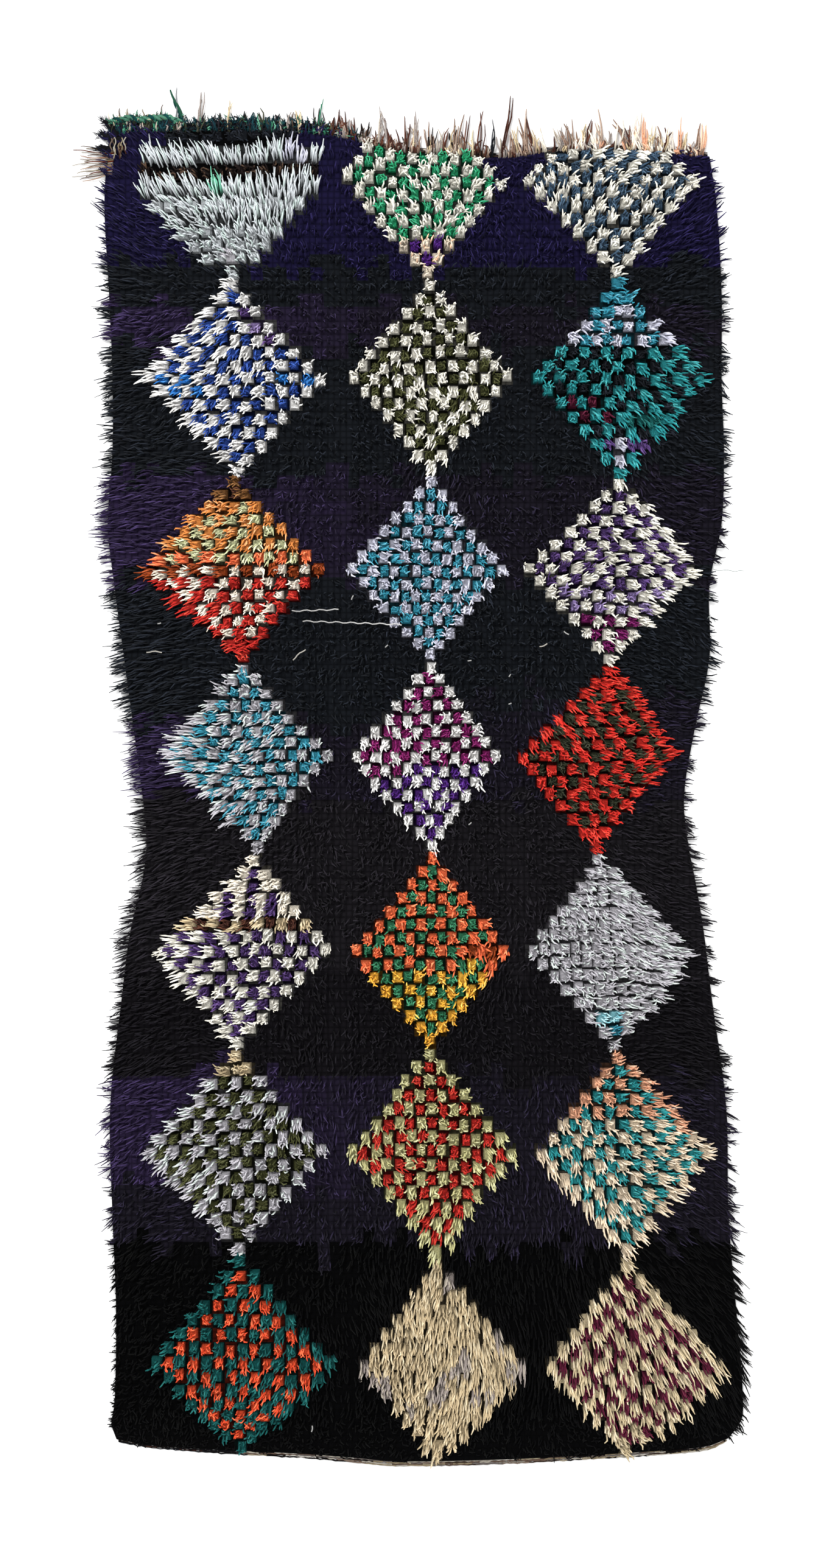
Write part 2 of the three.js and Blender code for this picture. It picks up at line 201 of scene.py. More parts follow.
LOZENGES = (
    Lozenge("silver", 2, 10, (Band(-7, 7, "silver", "silver", "plain"),), (
        Accent(-2, -6, 6, "black", "any"), Accent(0, -7, 7, "peat", "any"), Accent(-1, 5, 6, "lilac", "any"),
        Accent(1, -1, -1, "mint", "any"), Accent(6, 0, 0, "pearl", "any"))),
    Lozenge("emerald", 2, 26, (
        checker(-7, 4, "cream", "emerald"), checker(5, 7, "peach_cream", "violet")), ()),
    Lozenge("slate", 2, 42, (checker(-7, 7, "cream", "slate"),), ()),
    Lozenge("royal", 17, 10, (checker(-7, 7, "white", "royal"),), (
        Accent(-5, 0, 3, "purple", "dark"), Accent(-4, 1, 3, "mauve", "dark"),
        Accent(-3, 2, 4, "purple", "dark"), Accent(0, -6, -3, "azure", "dark"),
        Accent(1, -6, -2, "azure", "dark"), Accent(0, 3, 6, "azure", "dark"))),
    Lozenge("olive", 17, 26, (checker(-7, 7, "cream", "olive"),), ()),
    Lozenge("teal", 17, 42, (
        Band(-7, -5, "turquoise", "turquoise", "plain"), checker(-4, -3, "lilac", "turquoise"),
        checker(-2, 7, "teal", "black")), (
        Accent(-5, 0, 1, "lilac", "any"),
        Accent(2, -4, -1, "wine", "dark"), Accent(3, -3, -1, "wine", "dark"),
        Accent(3, 1, 3, "petrol", "any"), Accent(5, -1, 2, "purple", "any"),
        Accent(6, 0, 0, "lilac", "any"), Accent(5, 0, 0, "lilac", "any"))),
    Lozenge("orange_red", 32, 10, (
        Band(-7, -6, "bronze", "umber", "checker"), checker(-5, -2, "tangerine", "celadon"),
        checker(-1, -1, "orange", "celadon"), Band(0, 0, "rust", "ivory", "checker"),
        checker(1, 5, "red", "ivory"), Band(6, 7, "red", "red", "plain")), (
        Accent(1, -4, 4, "ivory", "dark"), Accent(-5, -1, 0, "tangerine", "any"))),
    Lozenge("turquoise", 32, 26, (checker(-7, 7, "lilac", "turquoise"),), ()),
    Lozenge("purple", 32, 42, (
        checker(-7, 1, "cream", "purple"), checker(2, 3, "cream", "mauve"),
        checker(4, 7, "cream", "plum")), ()),
    Lozenge("lagoon", 47, 10, (checker(-7, 7, "pearl", "turquoise"),), ()),
    Lozenge("magenta", 47, 26, (checker(-7, 0, "white", "magenta"), checker(1, 7, "white", "violet")), (
        Accent(1, -5, -2, "magenta", "dark"),)),
    Lozenge("red", 47, 42, (checker(-7, 7, "scarlet", "forest"),), (
        Accent(-6, 0, 0, "scarlet", "any"), Accent(6, 0, 0, "scarlet", "any"))),
    Lozenge("striped", 62, 10, (
        Band(-7, -3, "ivory", "purple", "stripes"), checker(-2, -2, "sand", "umber"),
        checker(-1, 7, "cream", "purple")), ()),
    Lozenge("orange_green", 62, 26, (
        checker(-7, 1, "orange", "bottle"), checker(2, 7, "amber", "bottle")), (
        Accent(0, 4, 6, "rust", "dark"), Accent(1, 3, 5, "amber", "light"))),
    Lozenge("pearl", 62, 42, (Band(-7, 5, "pearl", "pearl", "plain"), checker(6, 7, "pearl", "turquoise")), (
        Accent(5, -1, 0, "aqua", "any"),)),
    Lozenge("moss", 77, 10, (checker(-7, 7, "pearl", "olive"),), (
        Accent(-7, 0, 0, "sand", "any"), Accent(-6, -1, 1, "sand", "any"))),
    Lozenge("lime_red", 77, 26, (checker(-7, 7, "lime", "red"),), ()),
    Lozenge("peach", 77, 42, (checker(-7, -3, "peach", "teal"), checker(-2, 7, "apricot", "teal")), (
        Accent(-2, 4, 5, "peach", "light"),)),
    Lozenge("petrol", 92, 10, (checker(-7, 7, "petrol", "coral"),), ()),
    Lozenge("sand", 92, 26, (Band(-7, 7, "sand", "sand", "plain"),), (
        Accent(-6, 1, 1, "ash", "any"), Accent(-2, 5, 5, "ash", "any"), Accent(-1, 2, 2, "ash", "any"),
        Accent(0, -7, -7, "ash", "any"), Accent(0, 1, 2, "ash", "any"), Accent(1, -6, -5, "ash", "any"),
        Accent(1, 0, 0, "ash", "any"), Accent(2, -5, -5, "ash", "any"), Accent(2, -1, 0, "ash", "any"),
        Accent(2, 3, 4, "ash", "any"), Accent(0, 6, 7, "ash", "any"), Accent(3, -3, -3, "ash", "any"))),
    Lozenge("straw", 92, 42, (checker(-7, 7, "straw", "wine"),), ()),
)

# The ground's yarn changes from row to row, and at a place across the body, from 0 to 1.
Ground = namedtuple("Ground", "last left right change")
GROUND = (
    Ground(8, "indigo", "indigo", 0.5),
    Ground(11, "black", "black", 0.5),
    Ground(14, "aubergine", "sloe", 0.3),
    Ground(24, "black", "black", 0.5),
    Ground(32, "aubergine", "sloe", 0.3),
    Ground(42, "black", "black", 0.5),
    Ground(44, "black", "sloe", 0.6),
    Ground(50, "aubergine", "sloe", 0.14),
    Ground(63, "soot", "soot", 0.5),
    Ground(71, "coal", "coal", 0.5),
    Ground(79, "aubergine", "sloe", 0.3),
    Ground(83, "sloe", "sloe", 0.3),
    Ground(99, "jet", "jet", 0.5),
)
GROUND_STRIPS = (25, 50, 75, 100)  # the ground's pile is made in pieces, up to these rows

# How the pile lies: the sideways reach of its tips at the left edge and at the right one, how far in from
# an edge they still lie over, and their reach along the warps at the left and at the right, up for
# positive, at rows down the rug.
Nap = namedtuple("Nap", "row left right up_left up_right")
NAP = (
    Nap(0, 0.014, 0.010, 0.011, 0.000),
    Nap(4, 0.016, 0.012, 0.010, 0.009),
    Nap(8, 0.018, 0.014, 0.004, 0.004),
    Nap(14, 0.022, 0.014, -0.003, -0.003),
    Nap(35, 0.024, 0.016, -0.003, -0.003),
    Nap(50, 0.026, 0.018, -0.004, -0.004),
    Nap(60, 0.022, 0.018, -0.004, -0.004),
    Nap(75, 0.018, 0.018, -0.005, -0.006),
    Nap(86, 0.010, 0.018, -0.005, -0.018),
    Nap(92, 0.006, 0.014, -0.005, -0.025),
    Nap(99, 0.004, 0.014, -0.004, -0.013),
)
NAP_INSET = 0.36
NAP_TURN = (0.18, 0.62)  # where the left reach along the warps gives way to the right one
# Rows that were left long or cut short: the lozenge, a row from its middle, how long as a share, how much
# lower its knots sit, in metres, and how many knots more it has at each side.
Cut = namedtuple("Cut", "lozenge row share lower more")
CUTS = (
    Cut("silver", -2, 0.5, 0.000, 0),
    Cut("silver", -1, 2.3, 0.014, 1),
    Cut("silver", 0, 0.4, 0.004, 0),
    Cut("silver", 1, 2.4, 0.006, 1),
    Cut("silver", 2, 1.1, 0.000, 1),
    Cut("silver", 3, 1.8, 0.000, 1),
    Cut("silver", 4, 1.1, 0.000, 1),
    Cut("silver", 5, 1.1, 0.000, 1),
    Cut("silver", 6, 1.0, 0.000, 1),
)
LAST_ROWS = 4  # the ground's last rows, cut short above the plain heading
LAST_CUTS = (0.7, 0.15)

# Where the rows of knots lie along the warps, which drifts from an even spacing, and how far across the
# body the columns are, as a share of its width.
RowPlace = namedtuple("RowPlace", "row along")
ROW_PLACES = (
    RowPlace(0.0, 0.0),
    RowPlace(2.5, 0.055),
    RowPlace(17.5, 0.394),
    RowPlace(32.5, 0.727),
    RowPlace(47.5, 1.045),
    RowPlace(62.5, 1.384),
    RowPlace(77.5, 1.728),
    RowPlace(92.5, 2.096),
    RowPlace(100.0, BODY_LENGTH),
)
ColumnPlace = namedtuple("ColumnPlace", "column across")
COLUMN_PLACES = (
    ColumnPlace(0, 0.0),
    ColumnPlace(3, 0.058),
    ColumnPlace(18, 0.350),
    ColumnPlace(19, 0.388),
    ColumnPlace(34, 0.657),
    ColumnPlace(35, 0.687),
    ColumnPlace(50, 0.970),
    ColumnPlace(51, 1.0),
)


def daylight(code):
    """The linear colour of a six-figure sRGB code."""
    parts = np.array([int(code[i : i + 2], 16) for i in (0, 2, 4)]) / 255
    return tuple(np.where(parts <= 0.04045, parts / 12.92, ((parts + 0.055) / 1.055) ** 2.4))


class RugDyes(bpy.types.PropertyGroup):
    """The colours of the yarns"""

    __annotations__ = {
        name: FloatVectorProperty(
            name=dye.words, description=f"{dye.words} yarn", subtype="COLOR", size=3, min=0, max=1,
            default=daylight(dye.colour),
        )
        for name, dye in DYES.items()
    }


class RugPile(bpy.types.PropertyGroup):
    """The pile's yarn and how it was knotted"""

    strands: IntProperty(
        name="Strands", description="Cut ends in a knot of the lozenges", default=12, min=1, max=24)
    ground_strands: IntProperty(
        name="Ground strands", description="Cut ends in a knot of the ground", default=8, min=1, max=24)
    radius: FloatProperty(
        name="Yarn radius", description="Half the thickness of the pile yarn", default=0.0016, unit="LENGTH")
    rise: FloatProperty(
        name="Rise", description="How far the pile stands above its foundation", default=0.016, unit="LENGTH")
    curl: FloatProperty(
        name="Curl", description="How far a strand sways from side to side", default=0.0030, unit="LENGTH")
    unevenness: FloatProperty(
        name="Unevenness", description="How far knots stray from their grid", default=0.003, unit="LENGTH")
    seed: IntProperty(name="Seed", description="Starts everything that looks random", default=11)


class RugStudio(bpy.types.PropertyGroup):
    """The floor, the light and the camera"""

    camera_height: FloatProperty(
        name="Camera height", description="From the floor to the lens", default=3.2, unit="LENGTH")
    scale: FloatProperty(
        name="Photo scale", description="Metres at the pile for each pixel of the photo", default=0.00105,
        precision=5)
    floor: FloatVectorProperty(
        name="Floor", description="Colour of the floor", subtype="COLOR", size=3, min=0, max=1,
        default=(0.93, 0.93, 0.93))


SETTINGS = {"rug_dyes": RugDyes, "rug_pile": RugPile, "rug_studio": RugStudio}


def smooth_at(table, column, at):
    """A column of a table of named rows, on a smooth curve through them."""
    keys = np.array([row[0] for row in table])
    values = np.array([getattr(row, column) for row in table])
    last = len(keys) - 1
    before, after = np.maximum(np.arange(last + 1) - 1, 0), np.minimum(np.arange(last + 1) + 1, last)
    slopes = (values[after] - values[before]) / (keys[after] - keys[before])
    i = np.clip(np.searchsorted(keys, at, side="left") - 1, 0, last - 1)
    span = keys[i + 1] - keys[i]
    t = (at - keys[i]) / span
    ease = t * t * (3 - 2 * t)
    bend = span * t * (1 - t) * (slopes[i] * (1 - t) - slopes[i + 1] * t)
    return values[i] + (values[i + 1] - values[i]) * ease + bend


def smoothstep(x, low, high):
    """From 0 at low to 1 at high, with a gentle start and end."""
    t = np.clip((x - low) / (high - low), 0, 1)
    return t * t * (3 - 2 * t)


def weave_offset():
    """Where the middle warp and the nominal fringed end lie in the frame, from the plain heading's solid."""
    low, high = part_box("plain_heading")
    return low.x - LONG_EDGES[-1].left, high.y + BODY_LENGTH + PLAIN_END[-1].rise + SEAM_GAP


MIDDLE_WARP, NOMINAL_END = weave_offset()


def body_place(u, v):
    """x and y on the body: u across it from the left edge, v along it from the fringed end, 0 to 1."""
    along = v * BODY_LENGTH
    left = smooth_at(LONG_EDGES, "left", along)
    right = smooth_at(LONG_EDGES, "right", along)
    near_fringe = 1 - smoothstep(along, 0, END_FADE)
    near_plain = 1 - smoothstep(BODY_LENGTH - along, 0, END_FADE)
    rise = smooth_at(FRINGED_END, "rise", u) * near_fringe - smooth_at(PLAIN_END, "rise", u) * near_plain
    return MIDDLE_WARP + left + u * (right - left), NOMINAL_END - along + rise


def across_at(column):
    """How far across the body a place among the columns lies, from 0 to 1."""
    return np.interp(column, [p.column for p in COLUMN_PLACES], [p.across for p in COLUMN_PLACES])


def along_at(row):
    """How far along the body a place among the rows lies, from 0 to 1."""
    return smooth_at(ROW_PLACES, "along", row) / BODY_LENGTH


def soft_noise(u, v, seed, waves=9):
    """A smooth field about 0, from a few random waves over the body."""
    rng = np.random.default_rng(seed)
    total = np.zeros(np.broadcast(u, v).shape)
    for _ in range(waves):
        angle, count, phase = rng.uniform(0, 2 * np.pi), rng.uniform(1.5, 8), rng.uniform(0, 2 * np.pi)
        total += np.sin(2 * np.pi * count * (u * np.cos(angle) + 2 * v * np.sin(angle)) + phase)
    return total / np.sqrt(waves / 2)


def lozenge_dye(lozenge, row, column, more):
    """The dye of one knot, counted from the lozenge's middle, and whether it is the outline's yarn. The dye
    is None outside the lozenge."""
    half = HALF_ROWS - abs(row) + more
    if abs(column) > half:
        return None, False
    band = next(b for b in lozenge.bands if b.first <= row <= b.last)
    is_light = {
        "checker": (row + column) % 2 != 0,
        "stripes": abs(column) == half or column % 2 != 0,
        "plain": True,
    }[band.figure]
    dye = band.light if is_light else band.dark
    for accent in lozenge.accents:
        if accent.row == row and accent.first <= column <= accent.last:
            if accent.only == "any" or (accent.only == "light") == is_light:
                dye = accent.dye
    return dye, is_light


class Chart:
    """Every knot of the rug: its dye, the dye it runs into and by how much, its lozenge and its cut."""

    def __init__(self):
        shape = (KNOT_ROWS, KNOT_COLUMNS)
        self.dye, self.other = np.empty(shape, dtype=object), np.empty(shape, dtype=object)
        self.share, self.cut, self.lower = np.zeros(shape), np.ones(shape), np.zeros(shape)
        self.is_light = np.zeros(shape)
        self.cut[-LAST_ROWS:] = np.linspace(*LAST_CUTS, LAST_ROWS)[:, None]
        self.lozenge = np.full(shape, -1)
        rng = np.random.default_rng(3)
        uneven = rng.normal(0, 0.6, shape)
        for row, column in np.ndindex(shape):
            ground = next((g for g in GROUND if row + uneven[row, column] < g.last + 0.5), GROUND[-1])
            self.dye[row, column], self.other[row, column] = ground.left, ground.right
            across = column / KNOT_COLUMNS + rng.normal(0, 0.05)
            self.share[row, column] = smoothstep(across, ground.change - 0.25, ground.change + 0.25)
        for index, lozenge in enumerate(LOZENGES):
            cuts = {cut.row: cut for cut in CUTS if cut.lozenge == lozenge.name}
            for row in range(-HALF_ROWS, HALF_ROWS + 1):
                cut = cuts.get(row, Cut(lozenge.name, row, 1, 0, 0))
                for column in range(-HALF_ROWS, HALF_ROWS + 1):
                    dye, is_light = lozenge_dye(lozenge, row, column, cut.more)
                    if dye and lozenge.row + row >= 0:
                        knot = lozenge.row + row, lozenge.column + column
                        self.dye[knot] = self.other[knot] = dye
                        self.lozenge[knot] = index
                        self.cut[knot], self.lower[knot] = cut.share, cut.lower
                        self.is_light[knot] = is_light

    def colours(self, rows, columns, dyes):
        """The colour of each knot's yarn, and of its odd strands."""
        names, others, share = (table[rows, columns] for table in (self.dye, self.other, self.share))
        share = share[:, None]
        main = dyes_of(names, dyes) * (1 - share) + dyes_of(others, dyes) * share
        return main, tints_of(names) * (1 - share) + tints_of(others) * share

    def knots(self, index, first_row=0, last_row=KNOT_ROWS):
        """Rows and columns of the knots of a lozenge, or of the ground for -1."""
        rows, columns = np.nonzero(self.lozenge == index)
        kept = (rows >= first_row) & (rows < last_row)
        return rows[kept], columns[kept]


class NodeTree:
    """A Geometry Nodes tree that is built a node at a time."""

    def __init__(self, name, inputs):
        self.group = bpy.data.node_groups.new(name, "GeometryNodeTree")
        interface = self.group.interface
        interface.new_socket(name="Geometry", in_out="INPUT", socket_type="NodeSocketGeometry")
        interface.new_socket(name="Geometry", in_out="OUTPUT", socket_type="NodeSocketGeometry")
        for label, kind in inputs.items():
            interface.new_socket(name=label, in_out="INPUT", socket_type="NodeSocket" + kind)
        self.inputs = self.group.nodes.new("NodeGroupInput").outputs

    def add(self, kind, settings=None, **values):
        """A new node's first output that is in use. Values go to the inputs by name, with _ for a space."""
        node = self.group.nodes.new(kind)
        for key, value in (settings or {}).items():
            setattr(node, key, value)
        for key, value in values.items():
            label = key.replace("_", " ")
            socket = next(s for s in node.inputs if s.enabled and s.name == label)
            self.feed(socket, value)
        return next(s for s in node.outputs if s.enabled)

    def feed(self, socket, value):
        if isinstance(value, bpy.types.NodeSocket):
            self.group.links.new(value, socket)
        else:
            socket.default_value = value

    def maths(self, operation, *values):
        node = self.group.nodes.new("ShaderNodeMath")
        node.operation = operation
        for socket, value in zip(node.inputs, values):
            self.feed(socket, value)
        return node.outputs[0]

    def vectors(self, operation, *values):
        node = self.group.nodes.new("ShaderNodeVectorMath")
        node.operation = operation
        for socket, value in zip(node.inputs, values):
            self.feed(socket, value)
        return node.outputs[0]

    def scaled(self, vector, scale):
        node = self.group.nodes.new("ShaderNodeVectorMath")
        node.operation = "SCALE"
        self.feed(node.inputs[0], vector)
        self.feed(node.inputs["Scale"], scale)
        return node.outputs[0]

    def combined(self, x=0.0, y=0.0, z=0.0):
        return self.add("ShaderNodeCombineXYZ", X=x, Y=y, Z=z)

    def named(self, name, kind="FLOAT"):
        return self.add("GeometryNodeInputNamedAttribute", {"data_type": kind}, Name=name)

    def store(self, geometry, name, value, kind="FLOAT", domain="POINT"):
        return self.add(
            "GeometryNodeStoreNamedAttribute", {"data_type": kind, "domain": domain},
            Geometry=geometry, Name=name, Value=value)

    def drawn(self, low, high, stream, kind="FLOAT"):
        """A random value for each strand. Each stream is another series."""
        seed = self.maths("ADD", self.inputs["Seed"], float(stream))
        return self.add(
            "FunctionNodeRandomValue", {"data_type": kind}, Min=low, Max=high,
            ID=self.add("GeometryNodeInputIndex"), Seed=seed)

    def end(self, geometry):
        output = self.group.nodes.new("NodeGroupOutput")
        self.group.links.new(geometry, output.inputs[0])
        return self.group


def strand_points(tree):
    """A point for each strand, with its own root, tip and height."""
    given = tree.inputs
    strands = tree.add(
        "GeometryNodeDuplicateElements", {"domain": "POINT"}, Geometry=given["Geometry"],
        Amount=given["Strands"])
    spread = tree.named("spread", "FLOAT_VECTOR")
    side = tree.drawn((-1, -1, 0), (1, 1, 0), 1, "FLOAT_VECTOR")
    foot = tree.vectors("MULTIPLY", side, spread)
    root = tree.vectors("ADD", tree.add("GeometryNodeInputPosition"), foot)
    stray = tree.scaled(tree.drawn((-1, -1, 0), (1, 1, 0), 2, "FLOAT_VECTOR"), tree.named("stray"))
    fanned = tree.vectors("MULTIPLY", side, tree.named("fan", "FLOAT_VECTOR"))
    long = tree.drawn(0.7, 1.2, 3)
    reach = tree.scaled(tree.named("reach", "FLOAT_VECTOR"), long)
    reach = tree.vectors("ADD", tree.vectors("ADD", reach, fanned), stray)
    height = tree.maths("MULTIPLY", tree.named("rise"), tree.drawn(0.75, 1.15, 4))
    for name, value, kind in (
        ("root", root, "FLOAT_VECTOR"),
        ("tip", reach, "FLOAT_VECTOR"),
        ("height", height, "FLOAT"),
        ("sway", tree.drawn((-1, -1, 0), (1, 1, 0), 5, "FLOAT_VECTOR"), "FLOAT_VECTOR"),
        ("phase", tree.drawn(0.0, 6.28, 6), "FLOAT"),
        ("shade", tree.drawn(0.0, 1.0, 7), "FLOAT"),
        ("strand", tree.add("GeometryNodeInputIndex"), "INT"),
    ):
        strands = tree.store(strands, name, value, kind)
    return strands


def yarn_tree():
    """Grows strands of yarn out of points. Each point says where its strands' tips lie (reach) and how far
    they stray, how far they rise and droop, how wide apart their roots stand (spread) and their girth."""
    tree = NodeTree("Strands of yarn", {
        "Strands": "Int", "Steps": "Int", "Radius": "Float", "Curl": "Float", "Seed": "Int",
        "Yarn": "Material",
    })
    given = tree.inputs
    strands = strand_points(tree)
    line = tree.add("GeometryNodeCurvePrimitiveLine", End=(0, 0, 1))
    line = tree.add(
        "GeometryNodeResampleCurve", Curve=line, Count=tree.maths("ADD", given["Steps"], 1.0))
    placed = tree.add("GeometryNodeInstanceOnPoints", Points=strands, Instance=line)
    curves = tree.add("GeometryNodeRealizeInstances", Geometry=placed)
    along = tree.add("GeometryNodeSplineParameter")
    curves = tree.store(curves, "along", along)
    outward = tree.scaled(tree.named("tip", "FLOAT_VECTOR"), tree.maths("POWER", along, 1.35))
    wave = tree.maths("SINE", tree.maths("ADD", tree.maths("MULTIPLY", along, 5.5), tree.named("phase")))
    wave = tree.maths("MULTIPLY", tree.maths("MULTIPLY", wave, along), given["Curl"])
    swayed = tree.scaled(tree.named("sway", "FLOAT_VECTOR"), wave)
    arc = tree.maths("SINE", tree.maths("MULTIPLY", along, tree.named("droop")))
    lift = tree.combined(z=tree.maths("MULTIPLY", arc, tree.named("height")))
    place = tree.vectors("ADD", tree.vectors("ADD", tree.named("root", "FLOAT_VECTOR"), outward), swayed)
    curves = tree.add(
        "GeometryNodeSetPosition", Geometry=curves, Position=tree.vectors("ADD", place, lift))
    taper = tree.maths("SUBTRACT", 1.0, tree.maths("MULTIPLY", tree.maths("POWER", along, 5.0), 0.5))
    thick = tree.maths("MULTIPLY", tree.maths("MULTIPLY", taper, given["Radius"]), tree.named("girth"))
    return wrapped(tree, curves, thick, 3)


def wrapped(tree, curves, thick, sides):
    """Ends a tree with its curves as yarn of the given thickness."""
    ring = tree.add("GeometryNodeCurvePrimitiveCircle", Resolution=sides, Radius=1.0)
    turn = tree.maths("DIVIDE", tree.add("GeometryNodeInputIndex"), float(sides))
    ring = tree.store(ring, "around", turn)
    made = tree.add(
        "GeometryNodeCurveToMesh", Curve=curves, Profile_Curve=ring, Scale=thick, Fill_Caps=True)
    made = tree.add("GeometryNodeSetShadeSmooth", Geometry=made)
    made = tree.add("GeometryNodeRealizeInstances", Geometry=made)
    return tree.end(tree.add("GeometryNodeSetMaterial", Geometry=made, Material=tree.inputs["Yarn"]))


def laid_tree():
    """Turns drawn lines into yarn. Each point of a line says how thick the yarn is there (girth)."""
    tree = NodeTree("Laid yarn", {"Yarn": "Material"})
    curves = tree.add("GeometryNodeMeshToCurve", Mesh=tree.inputs["Geometry"])
    return wrapped(tree, curves, tree.named("girth"), 5)


class Roots:
    """Points that strands of yarn grow from, and what each says about its own."""

    KINDS = {
        "spread": 3, "reach": 3, "fan": 3, "stray": 1, "rise": 1, "droop": 1, "girth": 1, "dye": 4, "tint": 4,
    }

    def __init__(self, places, **values):
        self.places = np.asarray(places, float).reshape(-1, 3)
        self.values = {}
        for key, value in values.items():
            width = self.KINDS[key]
            value = np.asarray(value, float)
            if width == 1:
                value = value.reshape(-1, 1)
            self.values[key] = np.broadcast_to(value, (len(self.places), width))

    def mesh(self, name):
        mesh = bpy.data.meshes.new(name)
        mesh.vertices.add(len(self.places))
        mesh.vertices.foreach_set("co", self.places.astype(np.float32).ravel())
        for key, value in self.values.items():
            kind, field = {
                1: ("FLOAT", "value"), 3: ("FLOAT_VECTOR", "vector"), 4: ("FLOAT_COLOR", "color"),
            }[self.KINDS[key]]
            layer = mesh.attributes.new(key, kind, "POINT")
            layer.data.foreach_set(field, np.ascontiguousarray(value, np.float32).ravel())
        return mesh


class Lines:
    """Lines that single lengths of yarn are laid along."""

    def __init__(self, seed):
        self.rng = np.random.default_rng(seed)
        self.points, self.edges, self.values = [], [], {key: [] for key in ("girth", "along", "shade")}
        self.dyes, self.numbers = [], []

    def lay(self, path, radius, dye, shade=None):
        """A length of yarn along the path, its thickness one number or one for each point."""
        path = np.asarray(path, float)
        first, count = sum(map(len, self.points)), len(path)
        self.points.append(path)
        self.edges += [(first + k, first + k + 1) for k in range(count - 1)]
        steps = np.linalg.norm(np.diff(path, axis=0), axis=1)
        self.values["girth"].append(np.broadcast_to(np.asarray(radius, float), count))
        self.values["along"].append(np.concatenate([[0], np.cumsum(steps)]))
        self.values["shade"].append(np.full(count, self.rng.uniform() if shade is None else shade))
        self.dyes += [dye] * count
        self.numbers += [len(self.points) - 1] * count

    def mesh(self, name, dyes):
        mesh = bpy.data.meshes.new(name)
        mesh.from_pydata(np.concatenate(self.points).tolist(), self.edges, [])
        layers = [(key, "FLOAT", "value", np.concatenate(value)) for key, value in self.values.items()]
        layers.append(("strand", "INT", "value", np.array(self.numbers)))
        for key, colours in (("dye", dyes_of(self.dyes, dyes)), ("tint", tints_of(self.dyes))):
            layers.append((key, "FLOAT_COLOR", "color", colours))
        for key, kind, field, value in layers:
            layer = mesh.attributes.new(key, kind, "POINT")
            kept = value.astype(np.int32 if kind == "INT" else np.float32)
            layer.data.foreach_set(field, np.ascontiguousarray(kept).ravel())
        return mesh


def by_nodes(name, mesh, tree, values, yarn):
    """A finished piece: what the node tree makes of the mesh."""
    piece = bpy.data.objects.new(name, mesh)
    bpy.context.scene.collection.objects.link(piece)
    modifier = piece.modifiers.new("Yarn", "NODES")
    modifier.node_group = tree
    values = {**values, "Yarn": yarn}
    for socket in tree.interface.items_tree:
        if socket.in_out == "INPUT" and socket.name in values:
            modifier[socket.identifier] = values[socket.name]
    return made_plain(piece, yarn)


def grow(name, roots, strands, steps, radius, curl, seed):
    """A finished piece of yarn strands on the given roots."""
    tree = bpy.data.node_groups.get("Strands of yarn") or yarn_tree()
    values = {"Strands": strands, "Steps": steps, "Radius": radius, "Curl": curl, "Seed": seed}
    return by_nodes(name, roots.mesh(name), tree, values, yarn_material())


def laid(name, lines):
    """A finished piece of yarn along the given lines."""
    tree = bpy.data.node_groups.get("Laid yarn") or laid_tree()
    return by_nodes(name, lines.mesh(name, bpy.context.scene.rug_dyes), tree, {}, yarn_material())


def made_plain(piece, material):
    """The piece with its modifiers' result as its own mesh."""
    bpy.context.view_layer.update()
    evaluated = piece.evaluated_get(bpy.context.evaluated_depsgraph_get())
    mesh = bpy.data.meshes.new_from_object(evaluated)
    piece.modifiers.clear()
    piece.data = mesh
    mesh.name = piece.name
    mesh.materials.clear()
    mesh.materials.append(material)
    if not len(mesh.polygons):
        raise RuntimeError(f"{piece.name} has no faces")
    lay_out_strands(mesh)
    return piece


def corner_values(mesh, name, kind=np.float32):
    """An attribute of the points, at each corner of each face."""
    values = np.zeros(len(mesh.vertices), kind)
    mesh.attributes[name].data.foreach_get("value", values)
    corners = np.zeros(len(mesh.loops), np.int32)
    mesh.loops.foreach_get("vertex_index", corners)
    return values[corners]


def lay_out_strands(mesh):
    """A map that gives each strand a cell of its own: its sides in a strip, and its ends above and below."""
    around, along = corner_values(mesh, "around"), corner_values(mesh, "along")
    strand = corner_values(mesh, "strand", np.int32)
    starts, counts = np.zeros(len(mesh.polygons), np.int32), np.zeros(len(mesh.polygons), np.int32)
    mesh.polygons.foreach_get("loop_start", starts)
    mesh.polygons.foreach_get("loop_total", counts)
    face = np.repeat(np.arange(len(starts)), counts)
    longest = np.zeros(strand.max() + 1)
    np.maximum.at(longest, strand, along)
    along = along / longest[strand]
    apart = np.maximum.reduceat(around, starts) - np.minimum.reduceat(around, starts)
    is_end = (counts != 4)[face]
    meets_start = (apart > 0.55)[face] & (around < 0.01)
    angle = 2 * np.pi * around
    x = np.where(is_end, 0.5 + 0.3 * np.cos(angle), 0.06 + 0.88 * (around + meets_start))
    end_height = np.where(along > 0.5, 0.93, 0.07)
    y = np.where(is_end, end_height + 0.045 * np.sin(angle), 0.15 + 0.7 * along)
    cells = int(np.ceil(np.sqrt(strand.max() + 1)))
    layer = mesh.uv_layers.new(name="OFBake")
    places = np.stack([(strand % cells + x) / cells, (strand // cells + y) / cells], 1)
    layer.data.foreach_set("uv", places.astype(np.float32).ravel())


